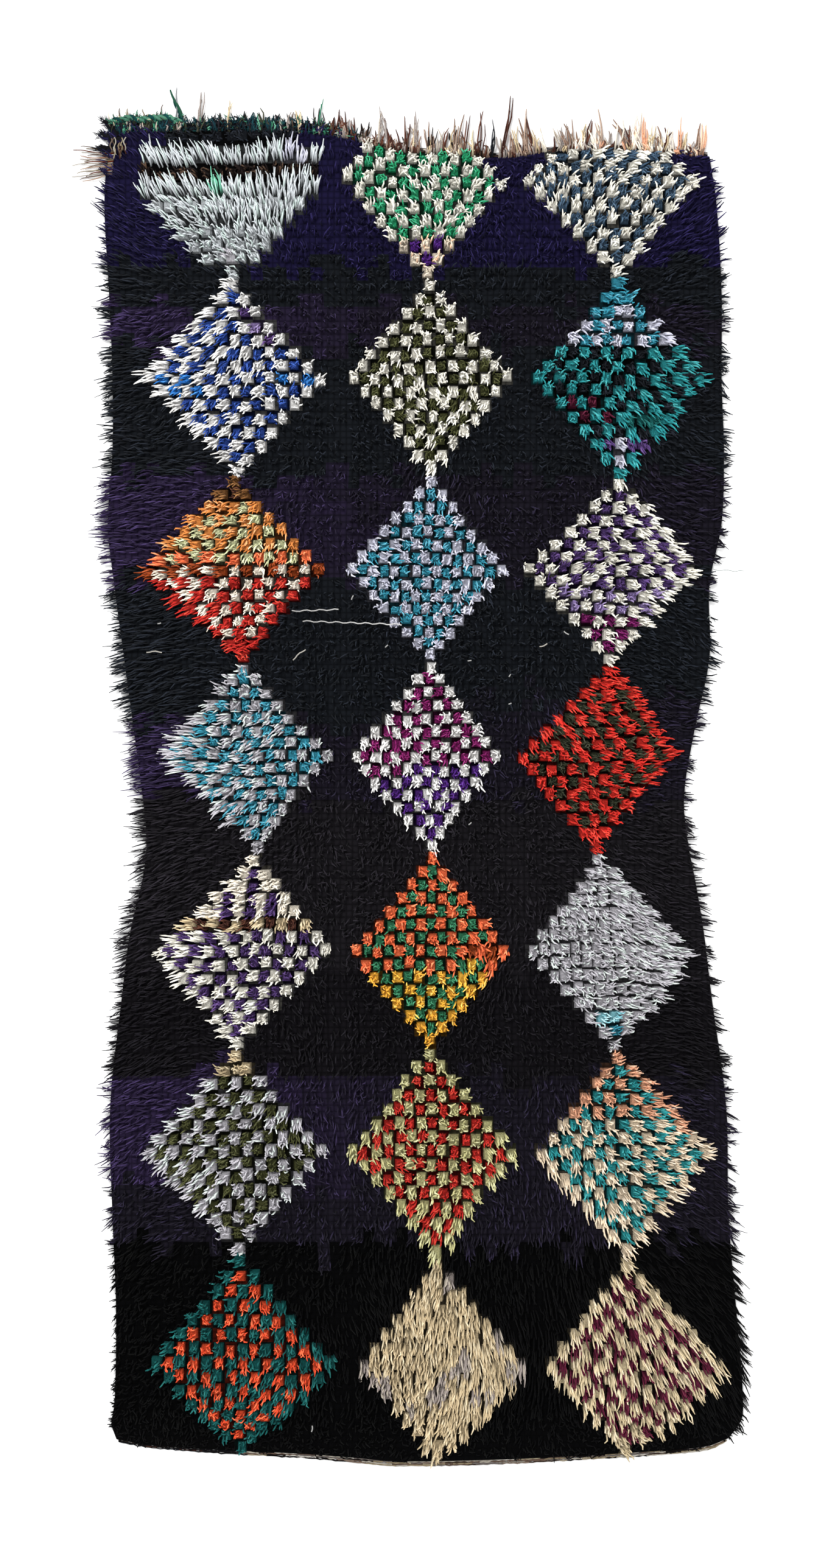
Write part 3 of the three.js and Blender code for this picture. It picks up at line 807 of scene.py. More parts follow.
class Shader:
    """A material's node tree, built a node at a time."""

    def __init__(self, name):
        self.material = bpy.data.materials.new(name)
        self.material.use_nodes = True
        self.tree = self.material.node_tree
        self.surface = self.tree.nodes["Principled BSDF"]

    def add(self, kind, settings=None, **values):
        node = self.tree.nodes.new(kind)
        for key, value in (settings or {}).items():
            setattr(node, key, value)
        for key, value in values.items():
            label = key.replace("_", " ")
            socket = next(s for s in node.inputs if s.enabled and s.name == label)
            self.feed(socket, value)
        return node

    def feed(self, socket, value):
        if isinstance(value, bpy.types.NodeSocket):
            self.tree.links.new(value, socket)
        else:
            socket.default_value = value

    def maths(self, operation, *values):
        node = self.tree.nodes.new("ShaderNodeMath")
        node.operation = operation
        for socket, value in zip(node.inputs, values):
            self.feed(socket, value)
        return node.outputs[0]

    def mixed(self, factor, first, second, way="MIX"):
        node = self.tree.nodes.new("ShaderNodeMix")
        node.data_type = "RGBA"
        node.blend_type = way
        self.feed(node.inputs["Factor"], factor)
        for label, value in (("A", first), ("B", second)):
            socket = next(s for s in node.inputs if s.enabled and s.name == label)
            self.feed(socket, value)
        return next(s for s in node.outputs if s.enabled)

    def attribute(self, name, output="Fac"):
        return self.add("ShaderNodeAttribute", {"attribute_name": name}).outputs[output]


def yarn_material():
    """Plied yarn: the dye of each strand, the odd strand's tint, uneven dyeing, painted shade that darkens
    each strand towards its root, and a twist in the bump.
    """
    made = bpy.data.materials.get("Dyed wool yarn")
    if made:
        return made
    shader = Shader("Dyed wool yarn")
    shade, along = shader.attribute("shade"), shader.attribute("along")
    is_tint = shader.maths("GREATER_THAN", shade, 0.72)
    colour = shader.mixed(is_tint, shader.attribute("dye", "Color"), shader.attribute("tint", "Color"))
    object_place = shader.add("ShaderNodeTexCoord").outputs["Object"]
    cloud = shader.add("ShaderNodeTexNoise", Vector=object_place, Scale=900.0, Detail=2.0)
    level = shader.maths("MULTIPLY_ADD", shade, 0.30, 0.74)
    level = shader.maths("MULTIPLY_ADD", cloud.outputs[0], 0.22, level)
    # Painted shade: the colour falls to 0.3 of itself at a strand's root and is full from about two thirds of
    # the way along; laid lengths, whose along counts metres, stay near the darkest.
    deep = shader.maths("MULTIPLY_ADD", along, 1.1, 0.3)
    level = shader.maths("MULTIPLY", level, shader.maths("MINIMUM", deep, 1.0))
    grey = shader.add("ShaderNodeCombineColor", Red=level, Green=level, Blue=level).outputs[0]
    shader.feed(shader.surface.inputs["Base Color"], shader.mixed(1.0, colour, grey, "MULTIPLY"))
    around = shader.attribute("around")
    twist = shader.maths("ADD", shader.maths("MULTIPLY", along, 7.0), around)
    ply = shader.maths("SINE", shader.maths("MULTIPLY", twist, 12.566))
    bump = shader.add("ShaderNodeBump", Strength=0.35, Distance=0.0004, Height=ply)
    shader.feed(shader.surface.inputs["Normal"], bump.outputs[0])
    surface = shader.surface.inputs
    surface["Roughness"].default_value = 0.88
    surface["Specular IOR Level"].default_value = 0.05
    surface["Sheen Weight"].default_value = 0.02
    surface["Sheen Roughness"].default_value = 0.5
    return shader.material


def packed_yarn_material():
    """The yarn deep in the knots, darkened to under half its dye with painted shade and streaked by its
    strands.
    """
    shader = Shader("Packed wool yarn in painted shade")
    place = shader.add("ShaderNodeTexCoord").outputs["Object"]
    noise = shader.add("ShaderNodeTexNoise", Vector=place, Scale=420.0, Detail=3.0, Roughness=0.7)
    streaks = noise.outputs[0]
    # Painted shade: the streak noise, about 0.5 on average, times 0.9 leaves the dye at under half its
    # brightness.
    level = shader.maths("MULTIPLY_ADD", streaks, 0.9, 0.0)
    grey = shader.add("ShaderNodeCombineColor", Red=level, Green=level, Blue=level).outputs[0]
    colour = shader.mixed(1.0, shader.attribute("dye", "Color"), grey, "MULTIPLY")
    shader.feed(shader.surface.inputs["Base Color"], colour)
    bump = shader.add("ShaderNodeBump", Strength=0.8, Distance=0.002, Height=streaks)
    shader.feed(shader.surface.inputs["Normal"], bump.outputs[0])
    shader.surface.inputs["Roughness"].default_value = 0.95
    shader.surface.inputs["Specular IOR Level"].default_value = 0.05
    return shader.material


def dressed(piece, slot, *nodes):
    """Says what the piece rides on and which solids it stands for; the slot, its finish, is not used."""
    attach(piece, "root")
    if nodes:
        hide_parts(*nodes)
    return piece


def dyes_of(names, dyes):
    return np.array([(*getattr(dyes, name), 1) for name in names])


def tints_of(names):
    return np.array([(*daylight(DYES[name].tint), 1) for name in names])


def knot_chances(seed, rows, columns):
    """Random numbers of the given knots, by what they are for, the same for a knot wherever it is asked."""
    rng = np.random.default_rng(seed)
    chances = {}
    for name in ("x", "y", "sideways", "up", "hank", "wide", "deep"):
        chances[name] = rng.normal(size=(KNOT_ROWS, KNOT_COLUMNS))[rows, columns]
    for name in ("rise", "droop", "girth"):
        chances[name] = rng.uniform(-1, 1, (KNOT_ROWS, KNOT_COLUMNS))[rows, columns]
    return chances


def nap_at(rows, u):
    """How far the tips of the pile reach sideways and along the warps."""
    down = rows.astype(float)
    left = smooth_at(NAP, "left", down) * (1 - smoothstep(u, 0.0, NAP_INSET))
    right = smooth_at(NAP, "right", down) * smoothstep(u, 1 - NAP_INSET, 1.0)
    up_left, up_right = (smooth_at(NAP, side, down) for side in ("up_left", "up_right"))
    return right - left, up_left + (up_right - up_left) * smoothstep(u, *NAP_TURN)


def hanks_dyed(main, tint, chance):
    """The knots' colours, each hank of yarn dyed a little differently."""
    hank = (1 + 0.07 * chance).clip(0.82, 1.2)[:, None]
    for colours in (main, tint):
        colours[:, :3] = (colours[:, :3] * hank).clip(0, 1)
    return main, tint


def knot_roots(rows, columns, chart, scene):
    """The roots of the pile at the given knots."""
    pile = scene.rug_pile
    chance = knot_chances(pile.seed, rows, columns)
    u, v = across_at(columns + 0.5), along_at(rows + 0.5)
    x, y = body_place(u, v)
    x = x + pile.unevenness * (0.6 * soft_noise(u, v, 5) + 0.5 * chance["x"])
    y = y + pile.unevenness * (0.8 * soft_noise(u, v, 6) + 0.5 * chance["y"]) - chart.lower[rows, columns]
    sideways, up = nap_at(rows, u)
    cut = chart.cut[rows, columns]
    main, tint = hanks_dyed(*chart.colours(rows, columns, scene.rug_dyes), chance["hank"])
    is_light = chart.is_light[rows, columns]
    in_lozenge = chart.lozenge[rows, columns] >= 0
    # The outline's yarn was cut longer, and covers some of the other.
    reach = np.where(in_lozenge, 0.80 + 0.28 * is_light, 1.0)
    sideways = sideways * np.minimum(cut, 1) * reach
    sideways += 0.0025 * soft_noise(u, v, 7) + 0.0014 * chance["sideways"]
    up = up * cut * reach
    up += 0.003 * soft_noise(u, v, 8) + 0.0014 * chance["up"]
    lying = np.hypot(sideways, up)
    upright = 1 - smoothstep(lying, 0.004, 0.018)
    rim = np.minimum.reduce([u, 1 - u, v * 2, (1 - v) * 2])
    tall = (0.55 + 0.45 * smoothstep(rim, 0.0, 0.05)) * np.clip(cut, 0.5, 1.1)
    zeros = np.zeros(len(x))
    wide = (across_at(columns + 1.0) - across_at(columns)) * 1.04
    deep = (along_at(rows + 1.0) - along_at(rows)) * BODY_LENGTH
    inward = -0.10 * upright + 0.10 * (1 - upright)
    plump = 0.92 + 0.14 * is_light
    height = pile.rise * tall * (0.72 + 0.28 * upright) * (0.9 + 0.12 * is_light)
    wide = wide * np.where(in_lozenge, 1.0, 1.2)
    return Roots(
        np.stack([x, y, zeros + KNOT_FOOT], 1),
        spread=np.stack([
            wide * plump * (0.42 + 0.03 * chance["wide"].clip(-2, 2)),
            deep * plump * (0.41 + 0.03 * chance["deep"].clip(-2, 2)), zeros], 1),
        reach=np.stack([sideways, up, zeros], 1),
        fan=np.stack([inward * wide, inward * deep, zeros], 1),
        stray=(0.003 + 0.0045 * upright) * np.where(cut > OPEN_CUT, 2.0, 1.0),
        rise=height * (1 + 0.09 * chance["rise"]),
        droop=2.45 - 0.4 * upright + 0.15 * chance["droop"],
        girth=(1 + 0.08 * chance["girth"]) * (0.97 + 0.12 * is_light),
        dye=main,
        tint=tint,
    )


class RUG_OT_lozenges(bpy.types.Operator):
    """Knot the lozenges, one piece each"""

    bl_idname = "rug.lozenges"
    bl_label = "Lozenges"

    def execute(self, context):
        scene, chart = context.scene, Chart()
        pile = scene.rug_pile
        for index, lozenge in enumerate(LOZENGES):
            rows, columns = chart.knots(index)
            piece = grow(
                f"lozenge_{lozenge.name}", knot_roots(rows, columns, chart, scene), pile.strands, steps=3,
                radius=pile.radius, curl=pile.curl, seed=pile.seed + index)
            dressed(piece, "pile")
        short = np.nonzero((chart.lozenge >= 0) & (chart.cut < OPEN_CUT))
        hearts = closed_boxes("knot_hearts", *knot_hearts(*short, chart, scene))
        hearts.data.materials.append(packed_yarn_material())
        dressed(hearts, "pile")
        return {"FINISHED"}


def closed_boxes(name, low_rings, high_rings, colours):
    """Closed boxes in one mesh, each from four low corners to four high ones, with a colour for each box."""
    count = len(low_rings)
    points = np.concatenate([low_rings, high_rings], 1).reshape(-1, 3)
    box = np.array([(3, 2, 1, 0), (4, 5, 6, 7), (0, 1, 5, 4), (1, 2, 6, 5), (2, 3, 7, 6), (3, 0, 4, 7)])
    faces = (np.arange(count)[:, None, None] * 8 + box).reshape(-1, 4)
    mesh = bpy.data.meshes.new(name)
    mesh.from_pydata(points.tolist(), [], faces.tolist())
    layer = mesh.color_attributes.new("dye", "FLOAT_COLOR", "CORNER")
    layer.data.foreach_set("color", colours.repeat(24, 0).astype(np.float32).ravel())
    square = np.array([(0.02, 0.02), (0.98, 0.02), (0.98, 0.98), (0.02, 0.98)])
    cells = int(np.ceil(np.sqrt(len(faces))))
    number = np.arange(len(faces))
    corner = np.stack([number % cells, number // cells], 1)[:, None, :]
    map_layer = mesh.uv_layers.new(name="OFBake")
    map_layer.data.foreach_set("uv", ((corner + square) / cells).astype(np.float32).ravel())
    piece = bpy.data.objects.new(name, mesh)
    bpy.context.scene.collection.objects.link(piece)
    return piece


def knot_hearts(rows, columns, chart, scene):
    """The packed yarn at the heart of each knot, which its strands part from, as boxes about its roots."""
    roots = knot_roots(rows, columns, chart, scene)
    spread, reach = roots.values["spread"], roots.values["reach"]
    turn = np.array([(-1, -1, 0), (1, -1, 0), (1, 1, 0), (-1, 1, 0)])
    low = roots.places[:, None, :] + turn * spread[:, None, :] * 1.02 - (0, 0, 0.001)
    height = roots.values["rise"][:, None, :] * 0.46 * np.array([0, 0, 1])
    high = roots.places[:, None, :] + turn * spread[:, None, :] * 0.78 + reach[:, None, :] * 0.25 + height
    return low, high, roots.values["dye"]


class RUG_OT_ground(bpy.types.Operator):
    """Knot the dark ground, in strips"""

    bl_idname = "rug.ground"
    bl_label = "Ground"

    def execute(self, context):
        scene, chart = context.scene, Chart()
        pile = scene.rug_pile
        first = 0
        for number, last in enumerate(GROUND_STRIPS):
            rows, columns = chart.knots(-1, first, last)
            piece = grow(
                f"ground_{number + 1}", knot_roots(rows, columns, chart, scene), pile.ground_strands, steps=2,
                radius=pile.radius, curl=pile.curl, seed=pile.seed + 50 + number)
            dressed(piece, "pile")
            first = last
        return {"FINISHED"}


def woven_material():
    """The backs of the knots, each of two bumps side by side, between the wefts, the grooves between the
    bumps darkened with painted shade.
    """
    shader = Shader("Woven foundation")
    place = shader.add("ShaderNodeTexCoord").outputs["Object"]
    parts = shader.add("ShaderNodeSeparateXYZ", Vector=place).outputs
    bumps = [
        shader.maths("ABSOLUTE", shader.maths("SINE", shader.maths("MULTIPLY", parts[k], np.pi / pitch)))
        for k, pitch in ((0, 0.0106), (1, 0.0112))
    ]
    height = shader.maths("POWER", shader.maths("MULTIPLY", *bumps), 0.5)
    fibres = shader.add("ShaderNodeTexNoise", Vector=place, Scale=700.0, Detail=3.0, Roughness=0.7).outputs[0]
    # Painted shade: the colour follows the bumps' height, darkest in the grooves between them; the fibre
    # noise streaks it.
    level = shader.maths("MULTIPLY_ADD", height, 0.55, shader.maths("MULTIPLY_ADD", fibres, 0.5, 0.1))
    grey = shader.add("ShaderNodeCombineColor", Red=level, Green=level, Blue=level).outputs[0]
    colour = shader.mixed(1.0, shader.attribute("dye", "Color"), grey, "MULTIPLY")
    shader.feed(shader.surface.inputs["Base Color"], colour)
    relief = shader.maths("MULTIPLY_ADD", fibres, 0.3, height)
    bump = shader.add("ShaderNodeBump", Strength=0.7, Distance=0.002, Height=relief)
    shader.feed(shader.surface.inputs["Normal"], bump.outputs[0])
    shader.surface.inputs["Roughness"].default_value = 0.95
    shader.surface.inputs["Specular IOR Level"].default_value = 0.05
    return shader.material


class RUG_OT_foundation(bpy.types.Operator):
    """Weave the foundation that the knots are tied on"""

    bl_idname = "rug.foundation"
    bl_label = "Foundation"

    def execute(self, context):
        chart = Chart()
        across, along = KNOT_COLUMNS, KNOT_ROWS
        u, v = np.meshgrid(across_at(np.arange(across + 1.0)), along_at(np.arange(along + 1.0)))
        x, y = body_place(u, v)
        top = np.stack([x, y, np.full_like(x, FOUNDATION_TOP)], 2).reshape(-1, 3)
        bottom = np.stack([x, y, np.zeros_like(x)], 2).reshape(-1, 3)
        index = np.arange((across + 1) * (along + 1)).reshape(along + 1, across + 1)
        a, b, c, d = index[1:, :-1], index[1:, 1:], index[:-1, 1:], index[:-1, :-1]
        quads = np.stack([a, b, c, d], 2).reshape(-1, 4)
        under = quads[:, ::-1] + index.size
        rim = np.concatenate([
            index[0, :-1], index[:-1, -1], index[-1, ::-1][:-1], index[::-1, 0][:-1]])
        after = np.roll(rim, -1)
        wall = np.stack([rim, after, after + index.size, rim + index.size], 1)
        faces = np.concatenate([quads, under, wall])
        mesh = bpy.data.meshes.new("foundation")
        mesh.from_pydata(np.concatenate([top, bottom]).tolist(), [], faces.tolist())
        knots = np.indices((along, across)).reshape(2, -1)
        colours, _ = chart.colours(*knots, context.scene.rug_dyes)
        is_ground = (chart.lozenge[tuple(knots)] < 0)[:, None]
        # Painted shade: the top is darkened to 0.04 of the dye under the lozenges and to 0.7 of it under the
        # ground, so the gaps between the knots read as shaded; the underside keeps the full dye.
        shaded_top_colours = colours * np.where(is_ground, (0.7, 0.7, 0.7, 1), (0.04, 0.04, 0.04, 1))
        rim_colours = np.tile((0.01, 0.01, 0.012, 1.0), (len(wall), 1))
        on_faces = np.concatenate([shaded_top_colours, colours, rim_colours])
        layer = mesh.color_attributes.new("dye", "FLOAT_COLOR", "CORNER")
        layer.data.foreach_set("color", on_faces.repeat(4, 0).astype(np.float32).ravel())
        # The top's map is the left half of the square, and the underside's the right.
        map_layer = mesh.uv_layers.new(name="OFBake")
        flat = np.stack([u.ravel(), 1 - v.ravel()], 1)
        both = np.concatenate([flat * (0.48, 0.96) + (0.01, 0.02), flat * (0.48, 0.96) + (0.51, 0.02)])
        places = both[faces.ravel()]
        map_layer.data.foreach_set("uv", places.astype(np.float32).ravel())
        piece = bpy.data.objects.new("foundation", mesh)
        context.scene.collection.objects.link(piece)
        mesh.materials.append(woven_material())
        dressed(piece, "pile", "pile_body")
        return {"FINISHED"}


class RUG_OT_selvedges(bpy.types.Operator):
    """Let the ends of the outermost knots stand out along the long edges"""

    bl_idname = "rug.selvedges"
    bl_label = "Selvedges"

    # Each edge: its name, its place across the body, how many bunches of ends stand out, how many in each.
    EDGES = (("left", 0.0, 320, 2), ("right", 1.0, 150, 4))

    def execute(self, context):
        scene, chart = context.scene, Chart()
        for number, (name, side, bunches, each) in enumerate(self.EDGES):
            rng = np.random.default_rng(61 + number)
            count = bunches * each
            v = rng.uniform(0.012, 0.988, bunches).repeat(each) + rng.normal(0, 0.0006, count)
            x, y = body_place(np.full(count, side), v)
            rows = np.clip(np.searchsorted(along_at(np.arange(KNOT_ROWS + 1.0)), v) - 1, 0, KNOT_ROWS - 1)
            columns = np.full(count, 0 if side == 0 else KNOT_COLUMNS - 1)
            main, tint = chart.colours(rows, columns, scene.rug_dyes)
            length = rng.uniform(0.5, 1.3, bunches).repeat(each) * rng.uniform(0.75, 1.1, count)
            outward = (0.004 + smooth_at(NAP, name, rows.astype(float))) * length
            up = smooth_at(NAP, "up_" + name, rows.astype(float)) + 0.004 * np.sin(v * 160)
            up = (up + rng.normal(0, 0.004, bunches).repeat(each)) * (1 - smoothstep(v, 0.95, 0.99))
            roots = Roots(
                np.stack(
                    [x + (0.004 if side == 0 else -0.004), y, KNOT_FOOT + rng.uniform(0, 0.006, count)], 1),
                spread=(0.002, 0.0015, 0), fan=(0, 0.001, 0), stray=0.0012,
                reach=np.stack([outward * (-1 if side == 0 else 1), up, 0 * v], 1),
                rise=rng.uniform(0.001, 0.007, count), droop=2.9, girth=rng.uniform(0.8, 1.2, count),
                dye=main, tint=tint)
            piece = grow(f"{name}_selvedge", roots, 1, steps=2, radius=0.0012, curl=0.002, seed=63 + number)
            dressed(piece, "pile")
        return {"FINISHED"}


def fringed_edge(u, out, z=0.0):
    """Points past the body's fringed end, out metres from it."""
    x, y = body_place(u, np.zeros_like(u))
    return np.stack(np.broadcast_arrays(x, y + out, z), -1)


def plain_edge(u, out, z=0.0):
    """Points past the body's plain end, out metres from it."""
    x, y = body_place(u, np.ones_like(u))
    return np.stack(np.broadcast_arrays(x, y - out, z), -1)


def woven_band(lines, edge, table, yarns, dyes, rng):
    """Wefts side by side along an end of the body, over and under its warps, in short lengths of each dye."""
    u = np.linspace(0.003, 0.997, 161)
    band = smooth_at(table, "band", u)
    for k in range(yarns):
        out = band * (k + 0.5) / yarns + 0.0004 * rng.normal(size=len(u))
        over = 0.0008 * np.cos(np.pi * (np.arange(len(u)) + k))
        thick = np.clip(band / yarns * 0.62, 0.0006, 0.0017) * rng.uniform(0.8, 1.2, len(u))
        path = edge(u, out, 0.0026 + over)
        first = 0
        while first < len(u) - 2:
            last = min(first + int(rng.integers(2, 9)), len(u) - 1)
            name = dyes(u[first], rng)
            lines.lay(path[first : last + 1], thick[first : last + 1], name)
            first = last


class RUG_OT_fringed_end(bpy.types.Operator):
    """Weave the heading of the fringed end and leave its warp ends standing out"""

    bl_idname = "rug.fringed_end"
    bl_label = "Fringed end"

    # Warp ends that stand out from the rest: where, how far past the heading, how far they swing aside,
    # and the dye.
    LONG_ENDS = (
        (0.144, 0.054, 0.006, "ash"),
        (0.200, 0.030, 0.001, "sand"),
        (0.250, 0.024, 0.000, "forest"),
        (0.300, 0.028, 0.002, "ash"),
        (0.318, 0.024, -0.003, "sand"),
        (0.353, 0.033, -0.002, "fern"),
        (0.396, 0.030, -0.006, "umber"),
        (0.447, 0.064, 0.010, "ash"),
        (0.466, 0.072, -0.008, "ash"),
        (0.492, 0.046, 0.004, "umber"),
        (0.511, 0.056, -0.004, "ash"),
        (0.530, 0.051, -0.004, "fawn"),
        (0.553, 0.046, 0.008, "umber"),
        (0.576, 0.064, 0.006, "fawn"),
        (0.590, 0.056, 0.004, "umber"),
        (0.615, 0.077, 0.005, "umber"),
        (0.637, 0.056, 0.006, "black"),
        (0.654, 0.078, 0.018, "umber"),
        (0.692, 0.056, -0.004, "fawn"),
        (0.705, 0.049, -0.008, "umber"),
        (0.752, 0.051, 0.004, "ash"),
        (0.790, 0.053, 0.012, "umber"),
        (0.820, 0.048, -0.008, "fawn"),
        (0.844, 0.057, 0.006, "ivory"),
        (0.872, 0.053, 0.010, "ivory"),
        (0.893, 0.060, 0.004, "peach"),
        (0.922, 0.051, 0.012, "ivory"),
        (0.948, 0.046, 0.006, "peach"),
        (0.975, 0.051, 0.004, "fawn"),
        (0.990, 0.046, 0.006, "peach"),
    )
    LEFT_DYES = ("ink", "black", "forest", "ink", "fern", "ink", "soot", "ash")
    MIDDLE_DYES = ("ash", "umber", "fawn", "peat", "umber", "sand", "fawn", "ash")
    RIGHT_DYES = ("ash", "ivory", "fawn", "sand", "umber", "peach", "ivory", "fawn")
    LEFT_UNTIL = 0.36
    RIGHT_FROM = 0.74
    LEFT_WEFTS = ("ink", "black", "petrol", "black")
    OTHER_WEFTS = ("umber", "black", "peat", "fawn")

    def execute(self, context):
        rng = np.random.default_rng(21)
        lines = Lines(21)
        woven_band(lines, fringed_edge, FRINGED_END, 7, self.weft_dye, rng)
        dressed(laid("fringed_heading", lines), "fringe", "warp_fringe")

        bunches = []
        for at in rng.uniform(0.004, 0.996, 210):
            is_left = at < self.LEFT_UNTIL + rng.normal(0, 0.03)
            is_right = at > self.RIGHT_FROM + rng.normal(0, 0.04)
            names = self.LEFT_DYES if is_left else self.RIGHT_DYES if is_right else self.MIDDLE_DYES
            length = 0.004 + (0.012 if is_left else 0.036) * rng.uniform() ** 1.4
            bunches.append((at, length, rng.normal(0, 0.3 * length), names[int(rng.integers(len(names)))]))
        u, reach, swing, dyes = [], [], [], []
        for at, length, aside, dye in (*bunches, *self.LONG_ENDS):
            for _ in range(3):
                u.append(np.clip(at + rng.normal(0, 0.0022), 0.002, 0.998))
                reach.append(length * rng.uniform(0.7, 1.15))
                swing.append(aside + rng.normal(0, 0.0030))
                dyes.append(dye)
        u = np.array(u)
        count = len(u)
        reach = smooth_at(FRINGED_END, "band", u) + np.array(reach)
        zeros = np.zeros(count)
        roots = Roots(
            fringed_edge(u, -0.002, 0.003), spread=(0.001, 0.001, 0), fan=(0.001, 0.001, 0), stray=0.001,
            reach=np.stack([np.array(swing), reach, zeros], 1), rise=0.004 + 0.0025 * rng.uniform(size=count),
            droop=3.2, girth=rng.uniform(0.85, 1.35, count), dye=dyes_of(dyes, context.scene.rug_dyes),
            tint=tints_of(dyes))
        ends = grow("warp_ends", roots, 1, steps=4, radius=0.0016, curl=0.006, seed=8)
        dressed(ends, "fringe", "warp_fringe")
        self.fuzz(context.scene, rng)
        return {"FINISHED"}

    def weft_dye(self, across, rng):
        names = self.LEFT_WEFTS if across < self.LEFT_UNTIL else self.OTHER_WEFTS
        return names[int(rng.integers(len(names)))]

    def fuzz(self, scene, rng):
        """The fuzzy dark wool along the left part of the heading."""
        u = rng.uniform(0.0, 0.42, 430)
        band = smooth_at(FRINGED_END, "band", u)
        across = rng.uniform(0, 1, len(u))
        dyes = [self.LEFT_DYES[int(k)] for k in rng.integers(0, 7, len(u))]
        lengths = rng.uniform(0.006, 0.013, len(u))
        places = fringed_edge(u, 0, 0.003)
        places[:, 1] += band * across
        roots = Roots(
            places, spread=(0.002, 0.001, 0), fan=(0, 0, 0), stray=0.003,
            reach=np.stack([rng.normal(0, 0.004, len(u)), lengths * (across - 0.2), 0 * u], 1),
            rise=rng.uniform(0.004, 0.009, len(u)), droop=2.2, girth=rng.uniform(0.7, 1.2, len(u)),
            dye=dyes_of(dyes, scene.rug_dyes), tint=tints_of(dyes))
        dressed(grow("fringed_heading_fuzz", roots, 2, steps=2, radius=0.0012, curl=0.002, seed=9), "fringe")


class RUG_OT_green_yarn(bpy.types.Operator):
    """Twist the green yarn along the corner of the fringed end"""

    bl_idname = "rug.green_yarn"
    bl_label = "Green end yarn"

    UNTIL = 0.124  # across the body
    TURNS = 4.5
    PLIES = ("fern", "fern", "petrol")
    FUZZ_DYES = ("fern", "ink", "forest", "fern", "sand")
    # Loose tails: where along the yarn, how far they reach and swing aside, their radius and dye.
    TAILS = (
        (0.122, 0.050, -0.021, 0.0030, "fern"),
        (0.119, 0.032, -0.012, 0.0026, "petrol"),
        (0.112, 0.054, 0.001, 0.0016, "silver"),
        (0.084, 0.024, 0.006, 0.0013, "fawn"),
        (0.078, 0.012, 0.003, 0.0012, "fern"),
        (0.058, 0.016, -0.002, 0.0012, "sand"),
        (0.044, 0.014, 0.004, 0.0012, "fern"),
        (0.030, 0.018, 0.001, 0.0014, "sand"),
        (0.016, 0.022, 0.002, 0.0014, "fawn"),
        (0.010, 0.014, -0.003, 0.0014, "fern"),
    )

    def execute(self, context):
        rng = np.random.default_rng(5)
        lines = Lines(5)
        u = np.linspace(0.000, self.UNTIL, 66)
        band = smooth_at(FRINGED_END, "band", u)
        sag = 0.002 * np.sin(u * 90) + 0.0015 * np.sin(u * 210)
        core = fringed_edge(u, band + 0.006 + sag, 0.0068)
        turn = 2 * np.pi * self.TURNS * (u - u[0]) / (u[-1] - u[0])
        taper = 1 - 0.4 * np.linspace(-1, 1, len(u)) ** 8
        for ply, dye in enumerate(self.PLIES):
            angle = turn + 2 * np.pi * ply / 3
            path = core + 0.0030 * np.stack([0 * u, np.cos(angle), np.sin(angle)], 1)
            lines.lay(path, 0.0031 * taper * rng.uniform(0.85, 1.15, len(u)), dye)
        for at, reach, swing, radius, dye in self.TAILS:
            t = np.linspace(0, 1, 10)
            across = at + 0 * t
            start = fringed_edge(across, smooth_at(FRINGED_END, "band", across) + 0.008 + reach * t, 0.006)
            start[:, 0] += swing * t + 0.0012 * np.sin(6 * t)
            start[:, 2] = 0.0065 * (1 - t) + 0.0016
            lines.lay(start, radius * (1 - 0.55 * t**2), dye)
        dressed(laid("green_end_yarn_plies", lines), "green_yarn", "green_end_yarn")

        u = rng.uniform(0.0, self.UNTIL, 80)
        places = fringed_edge(u, smooth_at(FRINGED_END, "band", u) + 0.006, 0.007)
        places[:, 1] += rng.uniform(-0.004, 0.004, len(u))
        dyes = [self.FUZZ_DYES[int(k)] for k in rng.integers(0, 5, len(u))]
        roots = Roots(
            places, spread=(0.001, 0.001, 0), fan=(0, 0, 0), stray=0.003,
            reach=np.stack([rng.normal(0, 0.005, len(u)), rng.normal(0.002, 0.006, len(u)), 0 * u], 1),
            rise=rng.uniform(0.003, 0.007, len(u)), droop=2.6, girth=1.0,
            dye=dyes_of(dyes, context.scene.rug_dyes), tint=tints_of(dyes))
        fuzz = grow("green_end_yarn_fuzz", roots, 1, steps=3, radius=0.0008, curl=0.002, seed=12)
        dressed(fuzz, "green_yarn")
        return {"FINISHED"}


class RUG_OT_plain_end(bpy.types.Operator):
    """Weave the flat heading of the plain end"""

    bl_idname = "rug.plain_end"
    bl_label = "Plain end"

    LEFT_WEFTS = ("black", "peat", "coal", "umber")
    LEFT_UNTIL = 0.2
    OTHER_WEFTS = ("sand", "ivory", "fawn", "peat", "ash")

    def weft_dye(self, across, rng):
        names = self.LEFT_WEFTS if across < self.LEFT_UNTIL else self.OTHER_WEFTS
        return names[int(rng.integers(len(names)))]

    def execute(self, context):
        rng = np.random.default_rng(31)
        lines = Lines(31)
        woven_band(lines, plain_edge, PLAIN_END, 4, self.weft_dye, rng)
        dressed(laid("plain_heading_wefts", lines), "plain_weave", "plain_heading")
        return {"FINISHED"}


